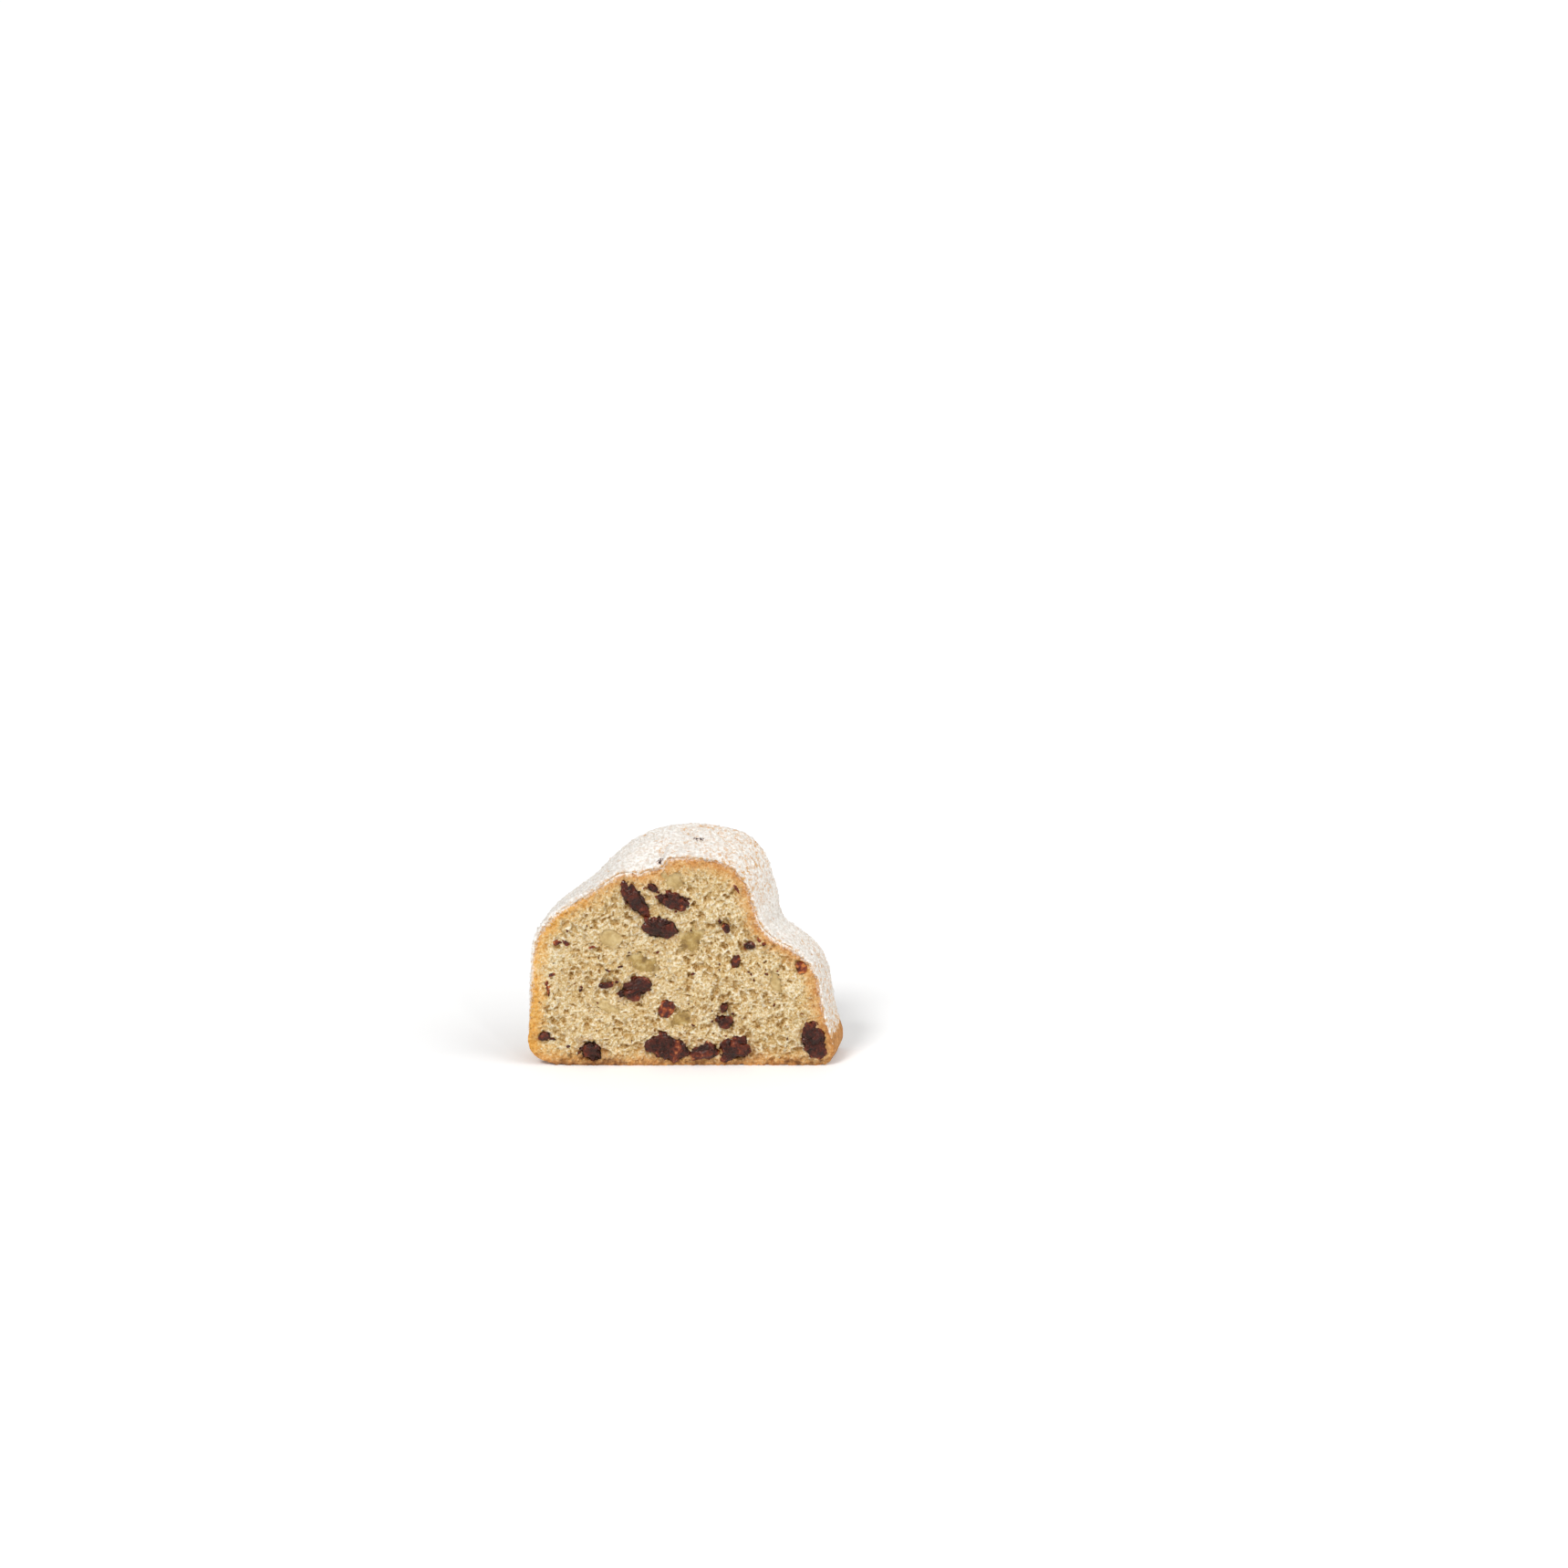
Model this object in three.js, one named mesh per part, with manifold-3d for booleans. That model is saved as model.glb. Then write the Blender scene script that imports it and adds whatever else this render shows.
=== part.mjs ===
// A slice of stollen that stands on its base: a fruit loaf with a hump, a fold on its right and a coat of
// icing sugar, cut through raisins, almonds, candied orange peel and candied citron.
// Sizes are in millimetres. X runs across the cut face, Y from the front cut to the back cut, and Z up.

import * as THREE from 'three';
import { mergeVertices } from 'three/addons/utils/BufferGeometryUtils.js';
import Module from 'manifold-3d';

const wasm = await Module();
wasm.setup();

// The slice
const THICKNESS = 18;
const OBLIQUE = 3.3; // the cut isn't quite square, so the back face lies this far to the right
const HUMP_RISE = 6; // the loaf was higher at the back cut
const HUMP_MIDDLE = -3;
const HUMP_REACH = 25;
const HUMP_FOOT = 44; // the height from which the hump rises
const HUMP_FLARE = 3.5; // and wider there on its right
const FOLD_FLARE = 0.4;
const BULGE = 0.35; // how far the crust bulges between the cuts
const FACE_CENTRE = new THREE.Vector2(0, 28);

// A dent where the crust sank in at the front cut, steep on its right side
const DENT_DEPTH = 2.6;
const DENT_MIDDLE = -12.5;
const DENT_HALF_WIDTH = 6;
const DENT_REACH = 0.6; // share of the thickness
const DENT_LOWEST = 50;

// The crust's outline at the front cut, from the right foot over the fold and the hump to the left foot
const OUTLINE = [
  [44.5, 0], [46.9, 2.4], [47.4, 6], [46.2, 10.2], [44.4, 15.5], [43.2, 21.5], [41.9, 28.3], [39, 34.3],
  [34, 39], [28, 42.6], [24, 46.6], [21.6, 52.5], [18.8, 60.5], [13.8, 66.3], [5, 68.8], [-5, 68.9],
  [-14, 66.8], [-22, 63.4], [-29, 58.4], [-36.5, 53.9], [-43.5, 48.2], [-47.6, 41], [-48.6, 30], [-49.3, 17],
  [-50, 8], [-47.3, 2.8], [-41, 0],
].map(([x, z]) => new THREE.Vector2(x, z));

// The grid of quads that covers the slice
const GRID = 28; // steps along one side of a cut face
const RIM = 4 * GRID; // steps round the outline
const ACROSS = 3; // steps from cut to cut

// Pores large enough to be relief in the solid
const PORES = 64;
const PORE_RADIUS = [2.2, 3.8];
const PORE_DEPTH = [0.4, 1.1];
const PORE_EDGE = 0.9; // the relief ends at this share of the way to the crust
const PORE_SEED = 20;

// The sugar
const GAP = 0.32; // free space between pieces that touch
const SUGAR = 0.85;
const SUGAR_END = 0.3; // its thickness at its two lower ends
const SUGAR_ENDS = [10, 7]; // rim steps above the right and the left foot
const SUGAR_FADE = 8; // rim steps over which it thins

// Fruit and nuts: how uneven they are, and how far they stand out of the cut
const KINDS = {
  raisin: { colour: 0x2f1416, roughness: 0.35, proud: 1, lobes: 0.13 },
  almond: { colour: 0xeadcae, roughness: 0.6, proud: 0.25, lobes: 0.1 },
  orange_peel: { colour: 0xa8401c, roughness: 0.3, proud: 0.35, lobes: 0.14 },
  citron: { colour: 0xc9b765, roughness: 0.3, proud: 0.2, lobes: 0.08 },
};
const SUNK = 0.2; // the knife passed this share of a piece's depth away from its middle

// Each piece as x, z, width, height and depth, with its tilt in degrees, as seen from the front
const FRONT_CUT = {
  raisin: [
    [-15.5, 54.6, 12.8, 6.0, 6.5, -58],
    [-7.8, 45.9, 10.6, 6.6, 6.0, -8],
    [-4.4, 55.3, 9.2, 4.6, 5.0, -11],
    [-16.3, 25.6, 10.4, 5.3, 5.6, 16],
    [-30.0, 4.9, 8.0, 6.2, 6.0, -50],
    [-5.6, 6.0, 12.6, 8.0, 7.0, -6],
    [6.0, 4.9, 7.0, 4.6, 5.0, 8],
    [16.0, 5.7, 8.8, 6.2, 6.0, -4],
    [41.0, 8.6, 8.0, 10.0, 7.0, 8],
    [12.9, 46.2, 2.2, 2.6, 2.4, 20],
    [12.6, 14.8, 5.6, 3.6, 3.4, -24],
    [12.4, 19.6, 2.2, 3.0, 2.6, 0],
    [-44.9, 9.9, 3.5, 3.0, 2.8, 30],
    [20.2, 40.2, 3.0, 2.4, 2.6, 10],
    [-25.2, 27.0, 3.8, 1.8, 2.4, 8],
    [-10.4, 59.4, 3.4, 2.4, 2.6, -30],
  ],
  almond: [
    [-3.8, 61.6, 7.4, 5.2, 5.0, -62],
    [-23.9, 42.6, 6.8, 5.6, 5.0, 18],
    [-24.8, 19.8, 7.6, 3.4, 4.2, -20],
    [28.6, 28.0, 7.4, 3.0, 4.0, -72],
  ],
  orange_peel: [
    [-6.0, 18.9, 6.2, 4.8, 4.6, 48],
    [36.8, 32.9, 4.8, 3.4, 4.0, -58],
    [15.8, 34.7, 4.8, 2.8, 3.6, 74],
  ],
  citron: [
    [-13.2, 34.4, 9.0, 6.4, 5.0, -22],
    [2.0, 42.0, 8.6, 6.8, 5.0, 58],
    [-1.8, 15.6, 6.6, 4.6, 4.0, 24],
  ],
};
const BACK_CUT = {
  raisin: [
    [-31.0, 32.0, 10.5, 6.8, 6.2, 35],
    [-9.0, 59.5, 9.2, 6.0, 6.0, -20],
    [6.0, 27.0, 11.0, 6.4, 6.0, -38],
    [27.0, 12.0, 9.4, 7.2, 6.2, 16],
    [-23.0, 7.0, 10.4, 6.6, 6.0, 8],
    [12.5, 54.0, 8.4, 6.4, 6.0, 60],
    [34.5, 28.5, 5.0, 4.0, 3.6, -30],
    [-40.0, 17.0, 4.4, 3.6, 3.4, 44],
  ],
  almond: [
    [-20.0, 48.0, 8.4, 4.8, 5.0, 28],
    [18.5, 38.0, 7.6, 4.6, 4.8, -16],
    [1.0, 9.0, 8.0, 4.2, 4.6, 4],
  ],
  orange_peel: [
    [-13.5, 21.5, 6.0, 4.6, 4.6, -36],
    [39.5, 14.5, 4.8, 4.0, 4.0, 62],
  ],
  citron: [
    [-8.0, 38.5, 8.6, 6.0, 5.0, 10],
    [20.0, 22.5, 6.8, 5.2, 4.4, -48],
  ],
};
// Raisins that show through the sugar on the hump: x, the share of the way from cut to cut, and a size
const ON_TOP = [
  [1.9, 0.5, 4.4],
  [-8.3, 0.12, 4.0],
];
const TOP_SHAPE = [1, 0.8, 0.6]; // their width, depth and height as shares of the size

// Faces of a piece, round it and from tip to tip
const LARGE_FACES = [9, 6];
const SMALL_FACES = [7, 4];
const SMALL_PIECE = 5.5; // the width under which a piece is small

// The colours of the dough and the sugar
const CRUMB = new THREE.MeshStandardMaterial({ color: 0xd9c191, roughness: 0.9, metalness: 0 });
const SUGAR_WHITE = new THREE.MeshStandardMaterial({ color: 0xf4efe8, roughness: 0.95, metalness: 0 });

// A random number from 0 to 1 that is the same each run
function seeded(seed) {
  let state = seed;
  return () => {
    state = (state * 1664525 + 1013904223) % 4294967296;
    return state / 4294967296;
  };
}

// 0 below low, 1 above high, and a smooth step between them
function step(low, high, value) {
  return THREE.MathUtils.smoothstep(value, low, high);
}

// The rim's points at the front cut: even steps over the top, then even steps along the flat base.
// Step 0 is at the right, GRID over the hump, 2 GRID at the left and 3 GRID in the middle of the base.
function rimPoints() {
  const over = new THREE.SplineCurve(OUTLINE);
  const base = new THREE.LineCurve(OUTLINE.at(-1), OUTLINE[0]);
  const share = base.getLength() / (base.getLength() + over.getLength());
  const baseSteps = 2 * Math.round((RIM * share) / 2);
  const path = [...over.getSpacedPoints(RIM - baseSteps), ...base.getSpacedPoints(baseSteps).slice(1, -1)];
  const rightFoot = 3 * GRID + baseSteps / 2;
  const rim = [];
  path.forEach((p, i) => {
    rim[(rightFoot + i) % RIM] = new THREE.Vector2(p.x, Math.max(0, p.y));
  });
  return { rim, rightFoot: rightFoot - RIM, leftFoot: 3 * GRID - baseSteps / 2 };
}

const { rim, rightFoot, leftFoot } = rimPoints();

// The rim between its steps
function rimAt(turn) {
  const at = (((turn % 1) + 1) % 1) * RIM;
  const low = Math.floor(at) % RIM;
  return rim[low].clone().lerp(rim[(low + 1) % RIM], at - Math.floor(at));
}

// The turn at which the top of the outline is nearest to x
function turnOver(x) {
  const far = rim.map((p) => (p.y < DENT_LOWEST ? Infinity : Math.abs(p.x - x)));
  return far.indexOf(Math.min(...far)) / RIM;
}

// How far the hump has risen at a point of the outline, where across is 0 at the front cut and 1 at the back
function rise(p, across) {
  const inHump = Math.exp(-(((p.x - HUMP_MIDDLE) / HUMP_REACH) ** 4));
  return HUMP_RISE * across * inHump * step(HUMP_FOOT, HUMP_FOOT + 12, p.y);
}

// How far the right side leans out on the way to the back cut
function flare(p, across) {
  return across * step(0, 18, p.x) * (FOLD_FLARE + HUMP_FLARE * step(38, 52, p.y));
}

// How far the crust has sunk in at the dent
function dent(p, across) {
  const left = step(DENT_MIDDLE - DENT_HALF_WIDTH - 3, DENT_MIDDLE - 1, p.x);
  const right = 1 - step(DENT_MIDDLE + DENT_HALF_WIDTH - 1, DENT_MIDDLE + DENT_HALF_WIDTH + 0.8, p.x);
  return p.y < DENT_LOWEST ? 0 : DENT_DEPTH * left * right * (1 - step(0, DENT_REACH, across));
}

// A point of the crust: turn goes once round the outline, and across from the front cut to the back one
function crust(turn, across) {
  const p = rimAt(turn);
  const lift = rise(p, across) - dent(p, across);
  const bulge = BULGE * 4 * across * (1 - across) * step(0, 6, p.y);
  const out = p.clone().sub(FACE_CENTRE).normalize().multiplyScalar(bulge);
  const right = OBLIQUE * across + flare(p, across);
  return new THREE.Vector3(p.x + right + out.x, THICKNESS * across, p.y + lift + out.y);
}

// The crust's outward normal at that point, in the plane of the cut
function crustNormal(turn, across) {
  const along = crust(turn + 0.5 / RIM, across).sub(crust(turn - 0.5 / RIM, across));
  return new THREE.Vector3(along.z, 0, -along.x).normalize();
}

// The turn and the distance from the middle, 0 to 1, of a point of the square from -1 to 1
function onDisc(a, b) {
  if (a === 0 && b === 0) return { turn: 0, reach: 0 };
  if (Math.abs(a) >= Math.abs(b)) return { turn: (a > 0 ? 0 : 0.5) + b / a / 8, reach: Math.abs(a) };
  return { turn: (b > 0 ? 0.25 : 0.75) - a / b / 8, reach: Math.abs(b) };
}

// The pores' middles and sizes
function pores(seed) {
  const random = seeded(seed);
  return Array.from({ length: PORES }, () => {
    const edge = rimAt(random()).sub(FACE_CENTRE).multiplyScalar(Math.sqrt(random()) * PORE_EDGE);
    return {
      middle: edge.add(FACE_CENTRE),
      radius: THREE.MathUtils.lerp(...PORE_RADIUS, random()),
      depth: THREE.MathUtils.lerp(...PORE_DEPTH, random()),
    };
  });
}

// How deep the pores are at a point of the cut face
function relief(list, x, z, reach) {
  const deepest = list.reduce((most, pore) => {
    const far = Math.hypot(x - pore.middle.x, z - pore.middle.y) / pore.radius;
    return far < 1 ? Math.max(most, pore.depth * Math.sqrt(1 - far * far)) : most;
  }, 0);
  return deepest * (1 - step(PORE_EDGE, 1, reach));
}

// A point of a cut face, from a point of the square
function cutPoint(a, b, across, list) {
  const { turn, reach } = onDisc(a, b);
  const middle = new THREE.Vector3(FACE_CENTRE.x + OBLIQUE * across, THICKNESS * across, FACE_CENTRE.y);
  const p = crust(turn, across).sub(middle).multiplyScalar(reach).add(middle);
  p.y += relief(list, p.x, p.z, reach) * (across === 0 ? 1 : -1);
  return p;
}

// Two triangles for a quad whose corners run anticlockwise, as seen from outside
function quad(into, a, b, c, d) {
  into.push(a, b, c, a, c, d);
}

// A closed geometry from a list of triangle corners
function closed(corners) {
  return mergeVertices(new THREE.BufferGeometry().setFromPoints(corners), 1e-3);
}

// Geometry to solid and back, for cuts
function solid(geometry) {
  const bare = geometry.clone().deleteAttribute('normal').deleteAttribute('uv');
  const merged = mergeVertices(bare, 1e-3);
  return new wasm.Manifold(
    new wasm.Mesh({
      numProp: 3,
      vertProperties: new Float32Array(merged.attributes.position.array),
      triVerts: new Uint32Array(merged.index.array),
    }),
  );
}

function geometryOf(manifold) {
  const mesh = manifold.getMesh();
  return new THREE.BufferGeometry()
    .setAttribute('position', new THREE.BufferAttribute(new Float32Array(mesh.vertProperties), 3))
    .setIndex(new THREE.BufferAttribute(new Uint32Array(mesh.triVerts), 1));
}

// The slice before its fruit: a cube of quads, whose front and back are the cuts. Its sides are the crust.
function doughGeometry() {
  const corners = [];
  const place = (k) => (2 * k) / GRID - 1;
  const front = pores(PORE_SEED);
  const back = pores(PORE_SEED + 1);
  for (let i = 0; i < GRID; i++) {
    for (let j = 0; j < GRID; j++) {
      const square = [[i, j], [i + 1, j], [i + 1, j + 1], [i, j + 1]];
      quad(corners, ...square.map(([a, b]) => cutPoint(place(a), place(b), 0, front)));
      quad(corners, ...square.reverse().map(([a, b]) => cutPoint(place(a), place(b), 1, back)));
    }
  }
  for (let k = 0; k < RIM; k++) {
    for (let j = 0; j < ACROSS; j++) {
      const square = [[k, j], [k, j + 1], [k + 1, j + 1], [k + 1, j]];
      quad(corners, ...square.map(([turn, across]) => crust(turn / RIM, across / ACROSS)));
    }
  }
  return closed(corners);
}

// The sugar: a skin over the crust from the right side to the left, thinner towards its two ends
function sugarGeometry() {
  const corners = [];
  const first = rightFoot + SUGAR_ENDS[0];
  const last = leftFoot - SUGAR_ENDS[1];
  const point = (k, j, outer) => {
    const [turn, across] = [k / RIM, j / ACROSS];
    const full = step(0, SUGAR_FADE, k - first) * step(0, SUGAR_FADE, last - k);
    const height = GAP + (outer ? THREE.MathUtils.lerp(SUGAR_END, SUGAR, full) : 0);
    return crust(turn, across).addScaledVector(crustNormal(turn, across), height);
  };
  for (let k = first; k < last; k++) {
    for (let j = 0; j < ACROSS; j++) {
      const [a, b, c, d] = [[k, j], [k, j + 1], [k + 1, j + 1], [k + 1, j]];
      quad(corners, ...[a, b, c, d].map(([turn, across]) => point(turn, across, true)));
      quad(corners, ...[a, d, c, b].map(([turn, across]) => point(turn, across, false)));
    }
    for (const [j, a, b] of [[0, k + 1, k], [ACROSS, k, k + 1]]) {
      quad(corners, point(a, j, false), point(b, j, false), point(b, j, true), point(a, j, true));
    }
  }
  for (let j = 0; j < ACROSS; j++) {
    for (const [k, a, b] of [[first, j, j + 1], [last, j + 1, j]]) {
      quad(corners, point(k, a, false), point(k, b, false), point(k, b, true), point(k, a, true));
    }
  }
  return closed(corners);
}

// A lump of fruit or nut as large as its size: an uneven ball whose lobes follow from its number.
// grow adds free space all round, for its pocket.
function lumpGeometry(size, lobes, number, grow = 0) {
  const [around, rings] = size.x < SMALL_PIECE ? SMALL_FACES : LARGE_FACES;
  const point = (i, j) => {
    const [turn, tip] = [(2 * Math.PI * (i % around)) / around, (Math.PI * j) / rings];
    const round = Math.sin(tip);
    const d = new THREE.Vector3(Math.cos(turn) * round, -Math.cos(tip), Math.sin(turn) * round);
    const swell = Math.sin(3 * d.x + 1.7 * number) * Math.sin(3.3 * d.z + 2.9 * number)
      + 0.6 * Math.sin(4.1 * d.x - 2.3 * d.z + 0.7 * number);
    return d.multiply(size.clone().multiplyScalar((1 + lobes * swell) / 2).addScalar(grow));
  };
  const corners = [];
  for (let i = 0; i < around; i++) {
    for (let j = 0; j < rings; j++) {
      const [a, b, c, d] = [point(i, j), point(i, j + 1), point(i + 1, j + 1), point(i + 1, j)];
      if (j > 0) corners.push(a, c, d);
      if (j < rings - 1) corners.push(a, b, c);
    }
  }
  return closed(corners);
}

// A ball-like piece with its pocket, both in their place
function piece(name, kind, number, size, place, tilt) {
  const turn = new THREE.Matrix4().makeRotationY(THREE.MathUtils.degToRad(-tilt)).setPosition(place);
  const made = solid(lumpGeometry(size, KINDS[kind].lobes, number).applyMatrix4(turn));
  const pocket = solid(lumpGeometry(size, KINDS[kind].lobes, number, GAP).applyMatrix4(turn));
  return { name, kind, made, pocket };
}

// A thin slab before the front cut or behind the back one, which trims what the knife went through
function knife(across) {
  const slab = new THREE.BoxGeometry(200, THICKNESS, 200);
  const y = across === 0 ? -THICKNESS / 2 : THICKNESS * 1.5;
  return (proud) => solid(slab.clone().translate(0, y + (across === 0 ? -proud : proud), 0));
}

// The pieces at one cut face, each trimmed flat where the knife went through it
function piecesAtCut(cut, across, label) {
  const slab = knife(across);
  return Object.entries(cut).flatMap(([kind, rows]) => rows.map(([x, z, width, height, depth, tilt], i) => {
    const place = new THREE.Vector3(x, across === 0 ? SUNK * depth : THICKNESS - SUNK * depth, z);
    const number = i + 1 + (across === 0 ? 0 : rows.length);
    const name = `${kind}_${label}_${String(i + 1).padStart(2, '0')}`;
    const lump = piece(name, kind, number, new THREE.Vector3(width, depth, height), place, tilt);
    return { ...lump, made: lump.made.subtract(slab(KINDS[kind].proud)) };
  }));
}

// The raisins that show through the sugar on the hump
function piecesOnTop() {
  return ON_TOP.map(([x, across, size], i) => {
    const turn = turnOver(x);
    const place = crust(turn, across).addScaledVector(crustNormal(turn, across), GAP);
    const name = `raisin_top_${String(i + 1).padStart(2, '0')}`;
    return piece(name, 'raisin', i + 5, new THREE.Vector3(...TOP_SHAPE).multiplyScalar(size), place, 0);
  });
}

// The whole slice
function stollenSlice() {
  const pieces = [
    ...piecesAtCut(FRONT_CUT, 0, 'front'),
    ...piecesAtCut(BACK_CUT, 1, 'back'),
    ...piecesOnTop(),
  ];
  const pockets = pieces.map(({ pocket }) => pocket);
  const dough = pockets.reduce((left, pocket) => left.subtract(pocket), solid(doughGeometry()));
  const sugar = pockets.reduce((left, pocket) => left.subtract(pocket), solid(sugarGeometry()));

  const slice = new THREE.Group();
  const add = (name, manifold, material) => {
    const mesh = new THREE.Mesh(geometryOf(manifold), material);
    mesh.name = name;
    slice.add(mesh);
  };
  add('crumb_and_crust', dough, CRUMB);
  add('sugar_coat', sugar, SUGAR_WHITE);
  for (const { name, kind, made } of pieces) {
    const { colour, roughness } = KINDS[kind];
    add(name, made, new THREE.MeshStandardMaterial({ color: colour, roughness, metalness: 0 }));
  }
  return slice;
}

// The origin is under the middle of the slice, on the surface that it stands on
const slice = stollenSlice();
const box = new THREE.Box3().setFromObject(slice);
const middle = box.getCenter(new THREE.Vector3());
slice.position.set(-middle.x, -middle.y, -box.min.z);

export default slice;
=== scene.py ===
# %% [markdown]
# # A slice of stollen
#
# Stollen is a heavy Christmas loaf: buttery dough full of raisins, almonds and candied peel, folded before
# it is baked and buried in icing sugar. This lesson builds one thick slice that stands on its base. The
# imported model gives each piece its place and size, and each step below gives it a surface. Shapes are
# worked out with numpy in millimetres and put into their meshes in metres.

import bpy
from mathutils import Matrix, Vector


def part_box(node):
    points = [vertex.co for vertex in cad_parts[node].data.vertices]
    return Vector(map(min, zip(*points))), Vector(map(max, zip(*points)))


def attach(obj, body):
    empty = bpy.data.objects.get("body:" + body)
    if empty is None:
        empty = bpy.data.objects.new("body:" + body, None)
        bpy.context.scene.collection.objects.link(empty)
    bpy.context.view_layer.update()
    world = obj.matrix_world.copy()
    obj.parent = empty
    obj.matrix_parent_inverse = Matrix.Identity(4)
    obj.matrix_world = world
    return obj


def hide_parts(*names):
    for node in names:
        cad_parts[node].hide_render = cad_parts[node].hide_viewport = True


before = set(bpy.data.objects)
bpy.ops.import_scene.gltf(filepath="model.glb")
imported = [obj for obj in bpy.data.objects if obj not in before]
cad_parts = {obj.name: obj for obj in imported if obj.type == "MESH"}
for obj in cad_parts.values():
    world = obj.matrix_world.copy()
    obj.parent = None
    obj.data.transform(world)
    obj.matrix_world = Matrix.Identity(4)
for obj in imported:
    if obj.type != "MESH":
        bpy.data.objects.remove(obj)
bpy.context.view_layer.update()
print("nodes:", len(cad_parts))

# %% Libraries and units
import itertools
import math

import bpy
import numpy as np
from mathutils import Quaternion, Vector

MM = 0.001  # one millimetre in the frame's metres

# %% [markdown]
# ## The outline of the loaf
#
# A cut shows the loaf's section: a hump, a notch and the fold on the right, a long shoulder on the left. We
# keep the few points that a baker would need to draw it, pass a smooth curve through them, and close it
# with the straight base. The position along the outline is called the turn: 0 at the right, 0.25 over the
# hump, 0.5 at the left and 0.75 in the middle of the base.

# %% Outline points and the curve through them
OUTLINE = np.array([  # x and z in millimetres, from the right foot over the hump to the left foot
    (44.5, 0), (46.9, 2.4), (47.4, 6), (46.2, 10.2), (44.4, 15.5), (43.2, 21.5), (41.9, 28.3), (39, 34.3),
    (34, 39), (28, 42.6), (24, 46.6), (21.6, 52.5), (18.8, 60.5), (13.8, 66.3), (5, 68.8), (-5, 68.9),
    (-14, 66.8), (-22, 63.4), (-29, 58.4), (-36.5, 53.9), (-43.5, 48.2), (-47.6, 41), (-48.6, 30),
    (-49.3, 17), (-50, 8), (-47.3, 2.8), (-41, 0),
])
CURVE_SAMPLES = 6000


def smooth(low, high, value):
    """0 below low, 1 above high, and 3t^2 - 2t^3 between them, with t the share of the way."""
    t = np.clip((value - low) / (high - low), 0, 1)
    return t * t * (3 - 2 * t)


def curve_through(points, samples):
    """Points of the smooth curve through the given ones: on each stretch the cubic between two points
    whose slopes are half the way between their neighbours."""
    last = len(points) - 1
    u = np.linspace(0, last, samples)
    i = np.minimum(u.astype(int), last - 1)
    t = (u - i)[:, None]
    before, start, end, after = (points[np.clip(i + k, 0, last)] for k in (-1, 0, 1, 2))
    v0, v1 = (end - before) / 2, (after - start) / 2
    cubic = 2 * start - 2 * end + v0 + v1
    square = 3 * end - 3 * start - 2 * v0 - v1
    return cubic * t**3 + square * t**2 + v0 * t + start


over = curve_through(OUTLINE, CURVE_SAMPLES)
over_length = np.append(0, np.cumsum(np.hypot(*np.diff(over, axis=0).T)))
base_length = OUTLINE[0, 0] - OUTLINE[-1, 0]
BASE_SHARE = base_length / (base_length + over_length[-1])
over_turn = 0.75 + BASE_SHARE / 2 - 1 + over_length / over_length[-1] * (1 - BASE_SHARE)
print(f"outline {base_length + over_length[-1]:.0f} mm round, base {base_length:.0f} mm")


def outline_at(turn):
    """The point (x, z) of the closed outline at each turn."""
    turn = np.mod(turn + BASE_SHARE, 1) - BASE_SHARE
    turn = np.where(turn < over_turn[0], turn + 1, turn)
    known = np.append(over_turn, over_turn[0] + 1)
    x = np.interp(turn, known, np.append(over[:, 0], OUTLINE[0, 0]))
    z = np.interp(turn, known, np.append(over[:, 1], OUTLINE[0, 1]))
    return np.stack([x, np.maximum(z, 0)], -1)


def turn_near(x, z, tries=2000):
    """The turn of the outline point that is nearest to (x, z)."""
    turn = np.linspace(0, 1, tries, endpoint=False)
    return turn[np.argmin(np.hypot(*(outline_at(turn) - (x, z)).T))]

# %% [markdown]
# ## The crust as a function of two parameters
#
# The crust is the outline carried from the front cut to the back one. On the way the hump rises, the dent
# in its front edge fades out, and the whole bulges slightly. One function of turn and across, which is 0 at
# the front cut and 1 at the back, gives every point. It also places the edges of the cuts and the sugar, so
# all of them meet without any fitting.

# %% Crust surface
THICKNESS = 18.0  # millimetres, as all that follow
OBLIQUE = 3.3  # how far the back cut lies to the right of the front one
HUMP_RISE = 6.0  # how much higher the hump is at the back cut
HUMP_MIDDLE, HUMP_REACH = -3.0, 25.0
HUMP_FEET = (44.0, 56.0)  # the heights from which the rise starts and is whole
HUMP_FLARE = 3.5  # how far the hump's right side leans out on the way to the back cut
FOLD_FLARE = 0.4  # and the fold's
FLARE_REACH = 18.0
FLARE_FEET = (38.0, 52.0)
BULGE = 0.35  # how far the crust stands out halfway between the cuts
BULGE_FOOT = 6.0
FACE_CENTRE = np.array([0.0, 28.0])
DENT_DEPTH = 2.6  # a dent in the front edge, left of the hump's top
DENT_LEFT, DENT_RIGHT = (-21.5, -13.5), (-7.5, -5.7)  # the slopes on its two sides, from x to x
DENT_REACH = 0.6  # the share of the thickness over which it fades out
DENT_LOWEST = 50.0


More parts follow.
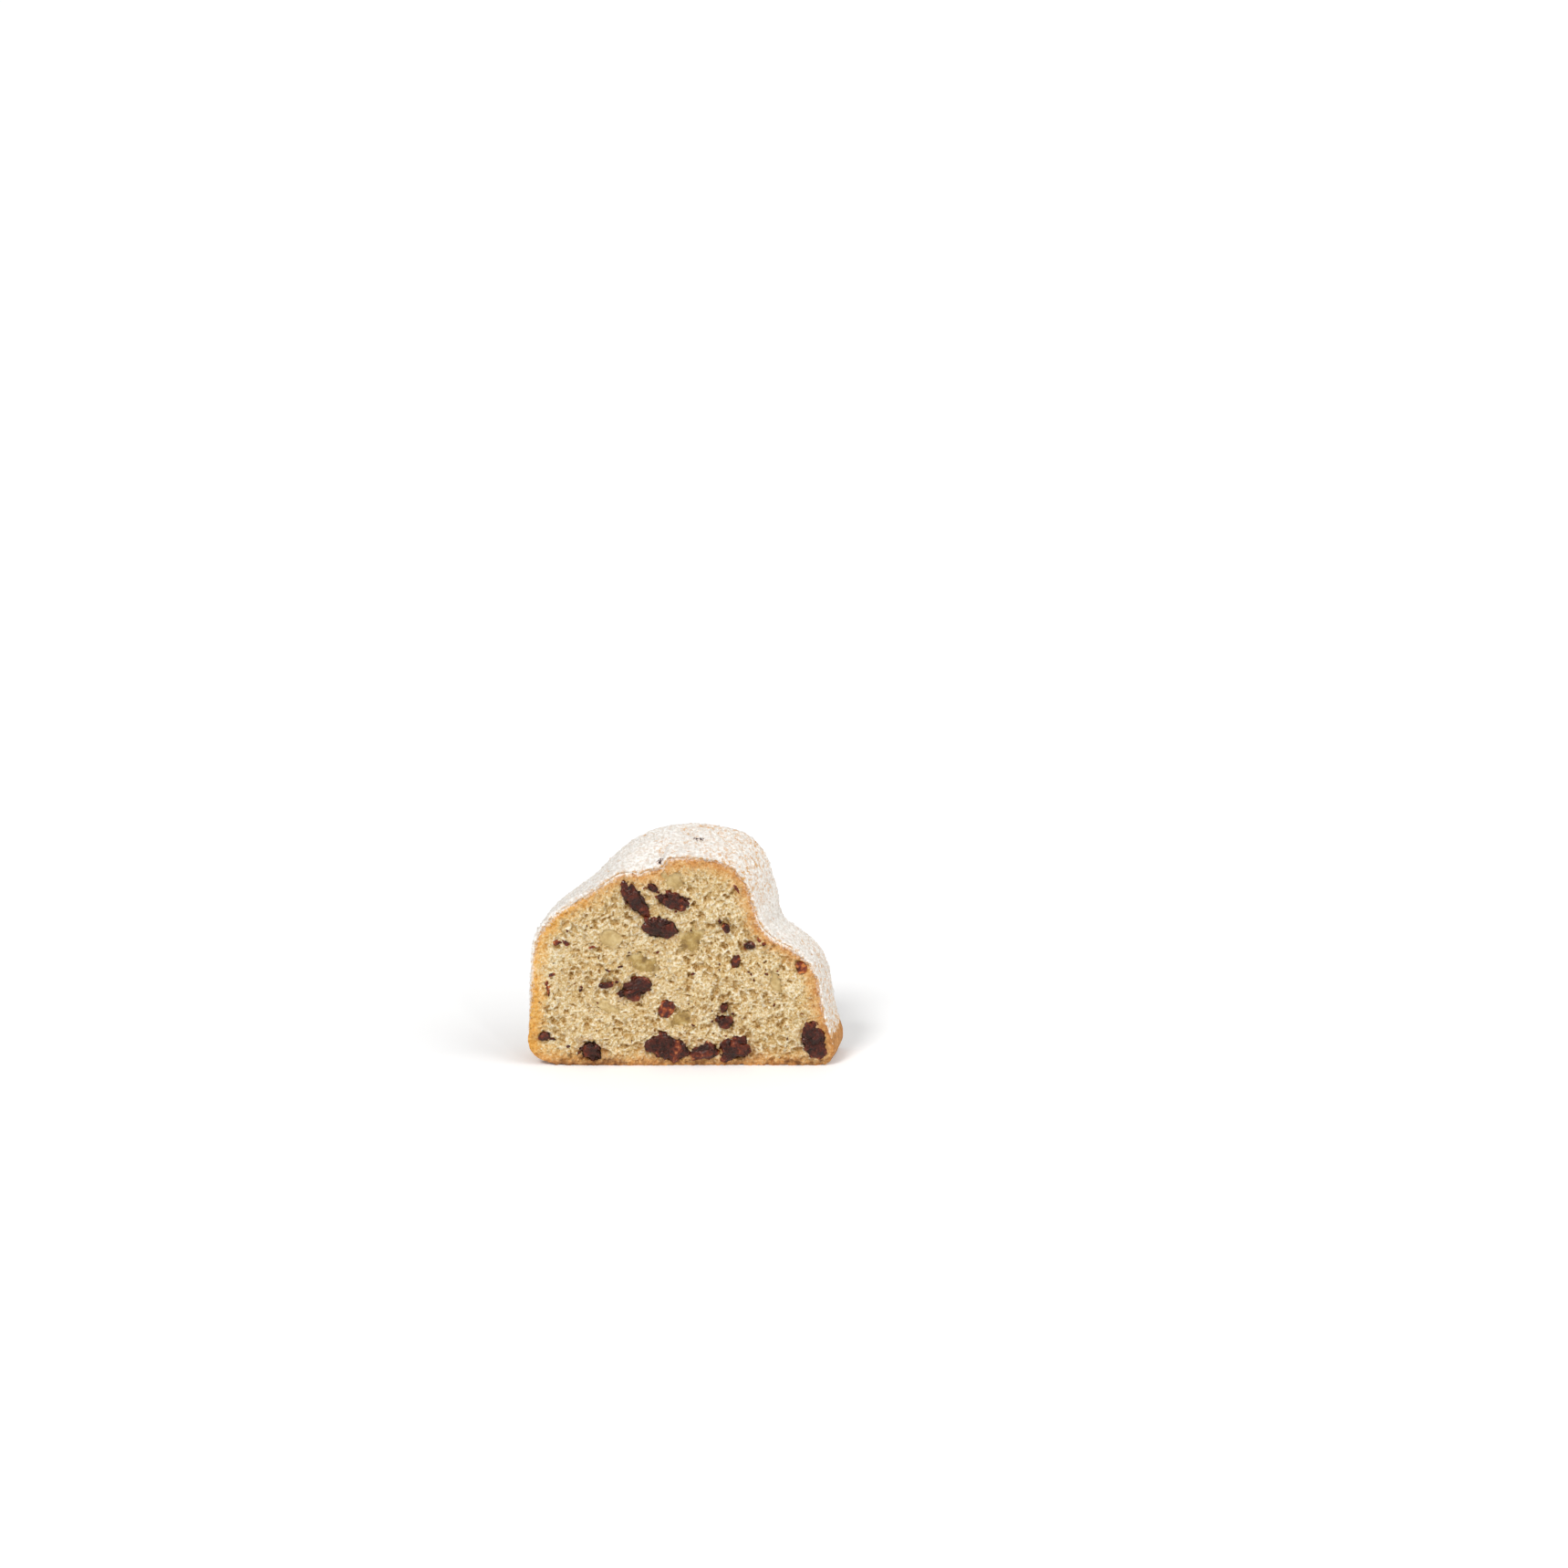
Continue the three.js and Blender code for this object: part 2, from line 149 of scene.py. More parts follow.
def crust_plain(turn, across):
    """Points of the crust in millimetres: the outline point, moved right by OBLIQUE * across and the right
    side's flare, up by the hump's rise, down by the dent, and out from the middle by
    BULGE * 4 * across * (1 - across)."""
    turn, across = np.broadcast_arrays(np.asarray(turn, float), np.asarray(across, float))
    x, z = np.moveaxis(outline_at(turn), -1, 0)
    in_hump = np.exp(-(((x - HUMP_MIDDLE) / HUMP_REACH) ** 4))
    rise = HUMP_RISE * across * in_hump * smooth(*HUMP_FEET, z)
    in_dent = smooth(*DENT_LEFT, x) * (1 - smooth(*DENT_RIGHT, x))
    dent = DENT_DEPTH * in_dent * (1 - smooth(0, DENT_REACH, across)) * (z >= DENT_LOWEST)
    flare = across * smooth(0, FLARE_REACH, x) * (FOLD_FLARE + HUMP_FLARE * smooth(*FLARE_FEET, z))
    bulge = BULGE * 4 * across * (1 - across) * smooth(0, BULGE_FOOT, z)
    away = np.stack([x, z], -1) - FACE_CENTRE
    away /= np.linalg.norm(away, axis=-1, keepdims=True)
    return np.stack([
        x + OBLIQUE * across + flare + bulge * away[..., 0],
        THICKNESS * across,
        z + rise - dent + bulge * away[..., 1],
    ], -1)


def crust_normal(turn, across, step=0.002):
    """Unit normals that point out of the crust, from the step along the outline turned by a right angle."""
    along = crust_plain(turn + step, across) - crust_plain(turn - step, across)
    out = np.stack([along[..., 2], np.zeros_like(along[..., 0]), -along[..., 0]], -1)
    return out / np.linalg.norm(out, axis=-1, keepdims=True)


probe = crust_plain(np.linspace(0, 1, 600)[:, None], np.linspace(0, 1, 9)).reshape(-1, 3)
print("the plain crust measures", np.ptp(probe, axis=0).round(1), "mm")

# %% [markdown]
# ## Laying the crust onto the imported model
#
# Our millimetres start at the outline's own zero point, the frame's under the middle of the slice. One
# measured shift joins them, middle to middle and base to base, so they stay together if either changes.

# %% Shift into the frame
node_low, node_high = (np.array(corner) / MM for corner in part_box("crumb_and_crust"))
SHIFT = (node_low + node_high) / 2 - (probe.min(0) + probe.max(0)) / 2
SHIFT[2] = node_low[2] - probe[:, 2].min()
print("crust to frame, mm:", SHIFT.round(3))

# %% [markdown]
# ## Randomness that repeats
#
# Bread is uneven at every scale. All the unevenness here comes from two kinds of seeded noise. A lattice of
# random numbers, blended smoothly, gives a field in space for crust, sugar and fruit. White noise that a
# blur turns into blots of one size gives flat maps for the cuts, quickly even for half a million cells.

# %% Noise in space
LATTICE = 32
FAR = 100  # cells; it keeps every lattice place positive


def noise(points, wavelength, seed):
    """A smooth random field from -1 to 1: random values on a cubic lattice with that spacing, which
    repeats after LATTICE cells, blended along each axis with 3t^2 - 2t^3."""
    table = np.random.default_rng(seed).uniform(-1, 1, (LATTICE,) * 3)
    at = np.asarray(points) / wavelength + FAR
    cell = np.floor(at).astype(int)
    t = at - cell
    t = t * t * (3 - 2 * t)
    total = 0
    for corner in itertools.product((0, 1), repeat=3):
        weight = np.where(corner, t, 1 - t).prod(-1)
        i, j, k = np.moveaxis((cell + corner) % LATTICE, -1, 0)
        total = total + weight * table[i, j, k]
    return total


print("noise at one point:", noise((0.5, 1.0, 1.5), 4.0, 1).round(3))

# %% Maps over a cut face
MAP_STEP = 0.125  # millimetres
MAP_LOW = np.array([-54.0, -3.0])
MAP_CELLS = (896, 656)
map_x = MAP_LOW[0] + MAP_STEP * np.arange(MAP_CELLS[0])[:, None]
map_z = MAP_LOW[1] + MAP_STEP * np.arange(MAP_CELLS[1])[None, :]
map_waves = np.hypot(
    np.fft.fftfreq(MAP_CELLS[0], MAP_STEP)[:, None], np.fft.rfftfreq(MAP_CELLS[1], MAP_STEP)[None, :]
)


def blur(field, sigma):
    """The map blurred by a bell curve of that sigma in millimetres, through its Fourier transform."""
    bell = np.exp(-2 * (np.pi * sigma * map_waves) ** 2)
    return np.fft.irfft2(np.fft.rfft2(field) * bell, MAP_CELLS)


def blots(size, seed):
    """A random map whose blots are about size millimetres across, with a spread of 1 about 0."""
    field = blur(np.random.default_rng(seed).normal(size=MAP_CELLS), size / 4)
    return (field - field.mean()) / field.std()


def map_at(field, x, z):
    """The map's values at points (x, z), blended between the four nearest cells."""
    i = np.clip((x - MAP_LOW[0]) / MAP_STEP, 0, MAP_CELLS[0] - 1.001)
    j = np.clip((z - MAP_LOW[1]) / MAP_STEP, 0, MAP_CELLS[1] - 1.001)
    i0, j0 = i.astype(int), j.astype(int)
    s, t = i - i0, j - j0
    low = field[i0, j0] * (1 - s) + field[i0 + 1, j0] * s
    high = field[i0, j0 + 1] * (1 - s) + field[i0 + 1, j0 + 1] * s
    return low * (1 - t) + high * t


print("one map has", MAP_CELLS[0] * MAP_CELLS[1], "cells")

# %% [markdown]
# ## Putting arrays into meshes
#
# Every piece goes through one helper. It moves points from the crust's millimetres into the frame, stores
# values per point as attributes for the materials, makes the piece ride on the slice's only body, and hides
# the imported nodes it stands for. Two small helpers number the squares of grids and of repeated shapes.

# %% Mesh helpers
def grid_quads(wide, high):
    """The squares of a grid of wide by high points, as four point numbers each."""
    index = np.arange(wide * high).reshape(wide, high)
    return np.stack([index[:-1, :-1], index[1:, :-1], index[1:, 1:], index[:-1, 1:]], -1).reshape(-1, 4)


def copies(quads, size, count):
    """The quads of count copies of a shape that has size points."""
    return (quads + size * np.arange(count)[:, None, None]).reshape(-1, 4)


def add(name, data):
    """A new object with that data, put into the scene."""
    made = bpy.data.objects.new(name, data)
    bpy.context.scene.collection.objects.link(made)
    return made


def piece(name, points, faces, material, slot, replaces, sharp=180, **values):
    """A mesh piece from points in crust millimetres and a list of faces, with one attribute per value."""
    mesh = bpy.data.meshes.new(name)
    mesh.from_pydata((points + SHIFT) * MM, [], faces)
    mesh.shade_smooth()
    if sharp < 180:
        mesh.set_sharp_from_angle(angle=math.radians(sharp))
    for key, array in values.items():
        attribute = mesh.attributes.new(key, "FLOAT", "POINT")
        attribute.data.foreach_set("value", np.ascontiguousarray(array, np.float32).ravel())
    mesh.materials.append(material)
    made = add(name, mesh)
    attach(made, "root")
    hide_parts(*replaces)
    mesh.calc_loop_triangles()
    print(f"{name}: {len(mesh.loop_triangles)} triangles")


print("a grid of 3 by 3 points has", len(grid_quads(3, 3)), "squares")

# %% [markdown]
# ## Small helpers for materials
#
# Each finish is a tree of nodes round one Principled shader. A few short methods keep the trees readable.
# Colours are written the way a painter picks them, as hexadecimal sRGB, and turned into linear values.

# %% Material helpers
def colour(code):
    """Linear red, green, blue and alpha of a hexadecimal sRGB colour such as "e8d5ae"."""
    srgb = np.array([int(code[i:i + 2], 16) / 255 for i in (0, 2, 4)])
    linear = np.where(srgb <= 0.04045, srgb / 12.92, ((srgb + 0.055) / 1.055) ** 2.4)
    return (*linear.tolist(), 1.0)


class Finish:
    """A material with one Principled shader, and methods that add nodes to its tree."""

    def __init__(self, name, **uniform):
        self.material = bpy.data.materials.new(name)
        self.material.use_nodes = True
        self.tree = self.material.node_tree
        self.shader = self.tree.nodes["Principled BSDF"]
        for socket, value in uniform.items():
            self.shader.inputs[socket.replace("_", " ")].default_value = value
        self.place = self.tree.nodes.new("ShaderNodeTexCoord").outputs["Object"]

    def node(self, kind, settings=None, **sockets):
        """A node of that kind. A socket's value is a number, a colour or another node's output."""
        made = self.tree.nodes.new("ShaderNode" + kind)
        for key, value in (settings or {}).items():
            setattr(made, key, value)
        for key, value in sockets.items():
            self.give(made.inputs[key.replace("_", " ")], value)
        return made

    def give(self, socket, value):
        """Sets the socket to a value, or links an output to it."""
        if isinstance(value, bpy.types.NodeSocket):
            self.tree.links.new(value, socket)
        else:
            socket.default_value = value

    def value(self, name):
        """A value per point of the mesh."""
        return self.node("Attribute", {"attribute_name": name}).outputs["Fac"]

    def grain(self, wavelength, detail=3.0, roughness=0.6):
        """Noise from 0 to 1 with blots of that many millimetres."""
        scale = 1 / (wavelength * MM)
        made = self.node("TexNoise", Vector=self.place, Scale=scale, Detail=detail, Roughness=roughness)
        return made.outputs["Fac"]

    def cells(self, wavelength):
        """The distance to the nearest of scattered points that lie about that many millimetres apart."""
        return self.node("TexVoronoi", Vector=self.place, Scale=1 / (wavelength * MM)).outputs["Distance"]

    def maths(self, operation, a, b=0.0, clamp=False):
        """The result of one operation on two values."""
        made = self.node("Math", {"operation": operation, "use_clamp": clamp})
        self.give(made.inputs[0], a)
        self.give(made.inputs[1], b)
        return made.outputs[0]

    def span(self, value, low, high, to_low=0.0, to_high=1.0):
        """The value with low to high stretched to to_low to to_high, and clamped there."""
        return self.node(
            "MapRange", Value=value, From_Min=low, From_Max=high, To_Min=to_low, To_Max=to_high
        ).outputs["Result"]

    def ramp(self, value, *stops):
        """Colours along a value, as (position, hexadecimal colour) from low to high."""
        made = self.node("ValToRGB", Fac=value)
        band = made.color_ramp.elements
        while len(band) < len(stops):
            band.new(0.5)
        for element, (position, code) in zip(band, stops):
            element.position = position
            element.color = colour(code)
        return made.outputs["Color"]

    def mix(self, share, a, b, blend="MIX"):
        """Colour a turned into colour b by that share."""
        made = self.node("Mix", {"data_type": "RGBA", "blend_type": blend})
        for socket, value in ((0, share), (6, a), (7, b)):
            self.give(made.inputs[socket], value)
        return made.outputs[2]

    def bump(self, height, distance, strength=1.0):
        """Relief in the shading, distance millimetres deep."""
        made = self.node("Bump", Height=height, Distance=distance * MM, Strength=strength)
        self.give(self.shader.inputs["Normal"], made.outputs["Normal"])

    def paint(self, base):
        """The shader's colour."""
        self.give(self.shader.inputs["Base Color"], base)


print("linear red of e8d5ae:", round(colour("e8d5ae")[0], 3))

# %% [markdown]
# ## The finish of crumb and crust
#
# A cut shows cream walls round pores in shade, and towards the edge the crumb turns golden and then brown,
# as the oven dried it. One material does both, because dough and crust are one piece. It reads six values
# of
# each point: lightness, partly random, low in pores and high on walls, whose low end is painted shade in
# the pores; rind, the millimetres to the crust; how golden the rind is, high where it is yellow and lighter
# on the left as painted light from the upper left; juice, the stain round raisins; scorch, where the tray
# burnt the crust; and dust, the sugar that fell on the cut. Noise makes every limit between two colours
# ragged.

# %% Crumb material
RIND_REACH = 10.0  # millimetres

crumb = Finish(
    "crumb", Roughness=0.8, Specular_IOR_Level=0.3,
    Subsurface_Weight=0.12, Subsurface_Scale=0.6 * MM, Subsurface_Radius=(1.0, 0.62, 0.32),
)
fine = crumb.span(crumb.grain(0.65, 5, 0.75), 0.38, 0.62, -0.3, 0.3)
# Painted shade: dark dots at the middle of small cells stand for the shade in pinholes too small for the
# mesh.
pin_hole_shade = crumb.span(crumb.cells(1.0), 0.1, 0.36, -0.3, 0.02)
tone = crumb.maths("ADD", crumb.value("tone"), crumb.maths("ADD", fine, pin_hole_shade), clamp=True)
# Painted shade: the ramp's dark tan end colours the pores, whose shade is painted into the crumb's colour.
dough = crumb.ramp(
    tone,
    (0.0, "8e642e"), (0.2, "ae8344"), (0.4, "c5a268"), (0.58, "d2b681"), (0.78, "e0cca4"), (1.0, "f0e6cc"),
)
rind = crumb.span(crumb.value("rind"), 0, RIND_REACH)
uneven = crumb.maths("ADD", rind, crumb.span(crumb.grain(2.6, 4), 0.3, 0.7, -0.16, 0.16))
# Painted light: the golden ramp is lighter than the brown one and is used on the left, where light from the
# upper left falls.
brown = crumb.ramp(uneven, (0.0, "b37f48"), (0.08, "c48f52"), (0.35, "d0a264"), (0.8, "dabb80"))
golden = crumb.ramp(uneven, (0.0, "c9943e"), (0.1, "d9a048"), (0.35, "dfa954"), (0.8, "dfbf82"))
baked = crumb.mix(crumb.value("gold"), brown, golden)
baked = crumb.mix(0.4, baked, crumb.mix(1.0, baked, dough, "OVERLAY"))
cut = crumb.mix(crumb.span(uneven, 0.08, 0.6, 0.9, 0.0), dough, baked)
cut = crumb.mix(crumb.maths("MULTIPLY", crumb.value("juice"), 0.6), cut, colour("9a6436"))
scorched = crumb.span(crumb.grain(1.6, 4), 0.35, 0.65, -0.5, 0.35)
scorched = crumb.maths("ADD", crumb.value("scorch"), scorched)
cut = crumb.mix(crumb.maths("MULTIPLY", scorched, 0.85, clamp=True), cut, colour("6a3f20"))
gaps = crumb.span(crumb.grain(0.7, 4, 0.7), 0.35, 0.65, 0.0, 0.9)
powder = crumb.maths("MULTIPLY", crumb.value("dust"), 1.6)
powder = crumb.maths("SUBTRACT", powder, gaps, clamp=True)
crumb.paint(crumb.mix(powder, cut, colour("f6f0e6")))
torn = crumb.maths("ADD", crumb.grain(0.6, 5, 0.75), crumb.maths("MULTIPLY", crumb.cells(1.0), 0.7))
crumb.bump(torn, 0.4, 0.9)
print("crumb nodes:", len(crumb.tree.nodes))

# %% [markdown]
# ## The finish of icing sugar
#
# Icing sugar is white, dull and a little translucent. It lies thick on the shoulder and in the notch, and
# thin on the steep right side, where brown crust shows through in specks. The mesh holds the thickness,
# and the material lets the crust's colour through where it is small.

# %% Sugar material
sugar = Finish(
    "icing_sugar", Roughness=0.9, Specular_IOR_Level=0.2,
    Subsurface_Weight=0.15, Subsurface_Scale=0.5 * MM, Subsurface_Radius=(1.0, 0.85, 0.7),
)
specks = sugar.span(sugar.grain(1.3, 5, 0.75), 0.38, 0.62, -0.68, 0.68)
cover = sugar.maths("ADD", sugar.span(sugar.value("thick"), 0.0, 0.95), specks)
crusty = sugar.mix(sugar.span(sugar.grain(2.4, 3), 0.35, 0.65), colour("cf9a58"), colour("dfb88c"))
crusty = sugar.mix(sugar.span(sugar.value("thick"), 0.45, 0.85), crusty, colour("dcc4b2"))
white = sugar.mix(sugar.span(sugar.grain(0.9, 4), 0.38, 0.62), colour("ded4c8"), colour("fbf8f3"))
sugar.paint(sugar.mix(sugar.span(cover, -0.05, 0.65), crusty, white))
sugar.bump(sugar.grain(1.1, 5, 0.7), 0.7)
print("sugar nodes:", len(sugar.tree.nodes))

# %% [markdown]
# ## The finish of raisins
#
# A raisin is red-brown, with small bright glints. A ramp turns each point's ridge value into colour, so the
# colour follows the modelled folds: nearly black in the folds, which is painted shade, and red-brown on the
# ridges. Its thin rim is made lighter by painted light shining through it. The mirrored light is tinted, as
# by dark fruit, and a thin coat stands for juice. Raisins on the hump are dusted with sugar.

# %% Raisin material
raisin = Finish(
    "raisin", Roughness=0.16, Coat_Weight=0.25, Coat_Roughness=0.08,
    Specular_IOR_Level=0.35, Specular_Tint=(1.0, 0.62, 0.5, 1.0),
    Subsurface_Weight=0.08, Subsurface_Scale=0.6 * MM, Subsurface_Radius=(1.0, 0.25, 0.12),
)
skin_shade_and_glow = raisin.span(raisin.grain(1.1, 4), 0.34, 0.66, -0.26, 0.26)
# Painted shade and light: the ridge value is low in the creases, which the ramp paints nearly black as
# shade, and the rim value lightens the thin rim as light shining through it.
skin_shade_and_glow = raisin.maths("ADD", raisin.value("ridge"), skin_shade_and_glow)
skin_shade_and_glow = raisin.maths("ADD", skin_shade_and_glow, raisin.value("rim"), clamp=True)
skin_shade_and_glow = raisin.ramp(
    skin_shade_and_glow, (0.0, "170502"), (0.3, "310b05"), (0.55, "4c170a"), (0.8, "753018"), (1.0, "ac683c"),
)
sprinkled = raisin.span(raisin.grain(0.9, 4), 0.44, 0.56, 0.0, 1.8)
sprinkled = raisin.maths("MULTIPLY", raisin.value("dust"), sprinkled)
raisin.paint(raisin.mix(raisin.maths("MINIMUM", sprinkled, 0.95), skin_shade_and_glow, colour("ecdfd4")))
raisin.bump(raisin.grain(1.4, 2), 0.8)
print("raisin nodes:", len(raisin.tree.nodes))

# %% [markdown]
# ## The finishes of almonds and candied peel
#
# Almonds are waxy, and candied citron is like yellow glass clouded from inside. Light spreads in both, and
# their colour fades into the crumb's at the thin rim, so one function makes the two. Orange peel is darker,
# and its colour follows its ridges, with painted shade in its creases. A thin coat stands for the syrup.

# %% Almond, citron and orange peel materials
def clouded(name, blot, stops, rim_code, relief, **uniform):
    """A pale finish with blots of that many millimetres, which fade to one colour at the rim."""
    made = Finish(name, **uniform)
    cloud = made.ramp(made.grain(blot, 4), *stops)
    made.paint(made.mix(made.span(made.value("rim"), 0.04, 0.26), cloud, colour(rim_code)))
    made.bump(made.grain(1.3, 4), relief)
    return made


almond = clouded(
    "almond", 2.4, [(0.32, "a88a50"), (0.5, "bea26a"), (0.68, "d2bc8a")], "d2b886", 0.5, Roughness=0.4,
    Subsurface_Weight=0.2, Subsurface_Scale=0.8 * MM, Subsurface_Radius=(1.0, 0.8, 0.5),
)
citron = clouded(
    "citron", 3.0, [(0.34, "7c5c20"), (0.5, "a88844"), (0.66, "cdb67e")], "d0b480", 0.6,
    Roughness=0.3, Coat_Weight=0.2, Coat_Roughness=0.15,
    Subsurface_Weight=0.25, Subsurface_Scale=1.2 * MM, Subsurface_Radius=(1.0, 0.8, 0.35),
)
orange_peel = Finish(
    "orange_peel", Roughness=0.25, Coat_Weight=0.2, Coat_Roughness=0.1, Specular_IOR_Level=0.3,
    Subsurface_Weight=0.15, Subsurface_Scale=1.0 * MM, Subsurface_Radius=(1.0, 0.35, 0.1),
)
# Painted shade: the peel's colour is darkest where the fold value is low, in its creases.
peel_tone = orange_peel.span(orange_peel.grain(1.4, 3), 0.34, 0.66, -0.5, 0.4)
peel_tone = orange_peel.maths("ADD", orange_peel.value("ridge"), peel_tone)
orange_peel.paint(orange_peel.ramp(peel_tone, (0.0, "421103"), (0.5, "7e300c"), (1.0, "c47634")))
orange_peel.bump(orange_peel.grain(0.7, 3), 0.2, 0.8)

FINISHES = {
    "raisin": raisin.material, "almond": almond.material,
    "orange_peel": orange_peel.material, "citron": citron.material,
}
print("finishes of fruit and nuts:", list(FINISHES))

# %% [markdown]
# ## Where the fruit sits
#
# Each raisin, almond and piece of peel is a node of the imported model. Its place, size and tilt are read
# from that node, never typed in again: the middle of its box, and the main directions of its points in the
# plane of the cut. The crumb needs these first, because it makes room for every piece.

# %% Read the fruit from the frame
def seat(node):
    """Where a piece of fruit sits, in crust millimetres: middle, half sizes and tilt in the cut's plane,
    and the nearest and farthest y. The tilt is the main axis of its points, from their covariance."""
    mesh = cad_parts[node].data
    points = np.empty(len(mesh.vertices) * 3, np.float32)
    mesh.vertices.foreach_get("co", points)
    points = points.reshape(-1, 3).astype(float) / MM - SHIFT
    flat = points[:, [0, 2]]
    middle = (flat.min(0) + flat.max(0)) / 2
    _, axes = np.linalg.eigh(np.cov((flat - flat.mean(0)).T))
    main = axes[:, 1] * np.sign(axes[0, 1] or 1)
    axes = np.array([main, [-main[1], main[0]]])
    along = (flat - middle) @ axes.T
    middle = middle + (along.max(0) + along.min(0)) / 2 @ axes
    kind, face, _ = node.rsplit("_", 2)
    return {
        "node": node, "kind": kind, "face": face,
        "middle": middle, "axes": axes, "half": np.ptp(along, axis=0) / 2,
        "y": np.array([points[:, 1].min(), points[:, 1].max()]),
    }


FRUIT = ("raisin", "almond", "orange", "citron")
seats = [seat(node) for node in sorted(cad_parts) if node.split("_")[0] in FRUIT]
print("fruit and nuts:", len(seats))

# %% [markdown]
# ## The pores of the crumb
#
# Crumb is a foam of pores of many sizes with thin walls, which the knife tears. Booleans with thousands of
# bubbles would be slow. A height map does the same for a surface seen from in front: each pore digs an
# elliptic bowl into it, and the map's coordinates are bent by noise, so that no bowl stays clean. Small
# pores far outnumber large ones, and there are fewer near the crust, where the crumb is dense.

# %% Pores
PORES = 4300
PORE_RADII = (0.25, 1.15)  # half the width across, in millimetres
PORE_SPREAD = 0.45  # the radius grows as a random share to the power of minus this
PORE_STRETCH = (1.0, 2.2)
BOWL = 1.2  # depth of a bowl in radii
DEEPEST_PORE = 1.3
DENSE_RIM = 6.0  # millimetres from the crust within which pores thin out
DENSE_PATCHES = [(9, 56, 13), (-26, 50, 8), (-1, 50, 6), (-40, 46, 7)]  # x, z and radius


def dig_pores(seed, bend_x, bend_z):
    """A map of pores. A bowl is BOWL * radius * sqrt(1 - q^2) deep, where q is the distance from its
    middle in units of its own half axes, in coordinates that are bent by the two maps."""
    random = np.random.default_rng(seed)
    turn, share = random.uniform(size=(2, PORES))
    edge = outline_at(turn) - FACE_CENTRE
    middles = edge * np.sqrt(share)[:, None] + FACE_CENTRE
    to_crust = (1 - np.sqrt(share)) * np.hypot(*edge.T)
    in_patch = np.zeros(PORES, bool)
    for x, z, radius in DENSE_PATCHES:
        in_patch |= np.hypot(middles[:, 0] - x, middles[:, 1] - z) < radius
    open_crumb = np.clip(0.75 + 0.4 * map_at(blots(16.0, seed + 1), *middles.T), 0.25, 1)
    chance = (0.1 + 0.9 * smooth(1.5, DENSE_RIM, to_crust)) * np.where(in_patch, 0.5, open_crumb)
    keep = random.uniform(size=PORES) < chance
    radii = np.minimum(PORE_RADII[0] * random.uniform(size=PORES) ** -PORE_SPREAD, PORE_RADII[1])
    radii *= 0.6 + 0.4 * smooth(1.0, DENSE_RIM, to_crust)
    stretch = random.uniform(*PORE_STRETCH, PORES)
    lie = np.arctan2(*(middles - FACE_CENTRE).T) + random.normal(0, 0.7, PORES)
    depth = np.zeros(MAP_CELLS)
    for (x, z), r, long, angle in zip(middles[keep], radii[keep], stretch[keep], lie[keep]):
        reach = int((r * long + 1.2) / MAP_STEP)
        i, j = int((x - MAP_LOW[0]) / MAP_STEP), int((z - MAP_LOW[1]) / MAP_STEP)
        window = (slice(max(i - reach, 0), i + reach), slice(max(j - reach, 0), j + reach))
        u = map_x[window[0]] + bend_x[window] - x
        v = map_z[:, window[1]] + bend_z[window] - z
        main = (u * math.cos(angle) - v * math.sin(angle)) / (r * long)
        side = (u * math.sin(angle) + v * math.cos(angle)) / r
        bowl = min(BOWL * r, DEEPEST_PORE) * np.sqrt(np.clip(1 - main**2 - side**2, 0, 1))
        depth[window] = np.maximum(depth[window], bowl)
    return depth


print("up to", PORES, "pores in each cut")

# %% [markdown]
# ## The relief and the colour of a cut
#
# The pores get torn edges and low waves on top. The crumb sinks where fruit sits, so that the fruit's own
# mesh fills the hollow, and it is evened out round pale pieces, which would look stuck on otherwise.
# Raisins stain it with juice. The lightness that says wall or pore is worked out from the relief itself, so
# colour and shape can't disagree: it is painted shade, dark in the pores and light on walls that stand up.

# %% Cut faces
POCKET = 1.5  # how deep the crumb makes room for fruit
LOW_RAISIN = 9.0  # raisins below this height stained more of the crumb
HALO = (0.9, 0.35)  # where the evened ring round pale fruit lies, in half widths, and how wide it is


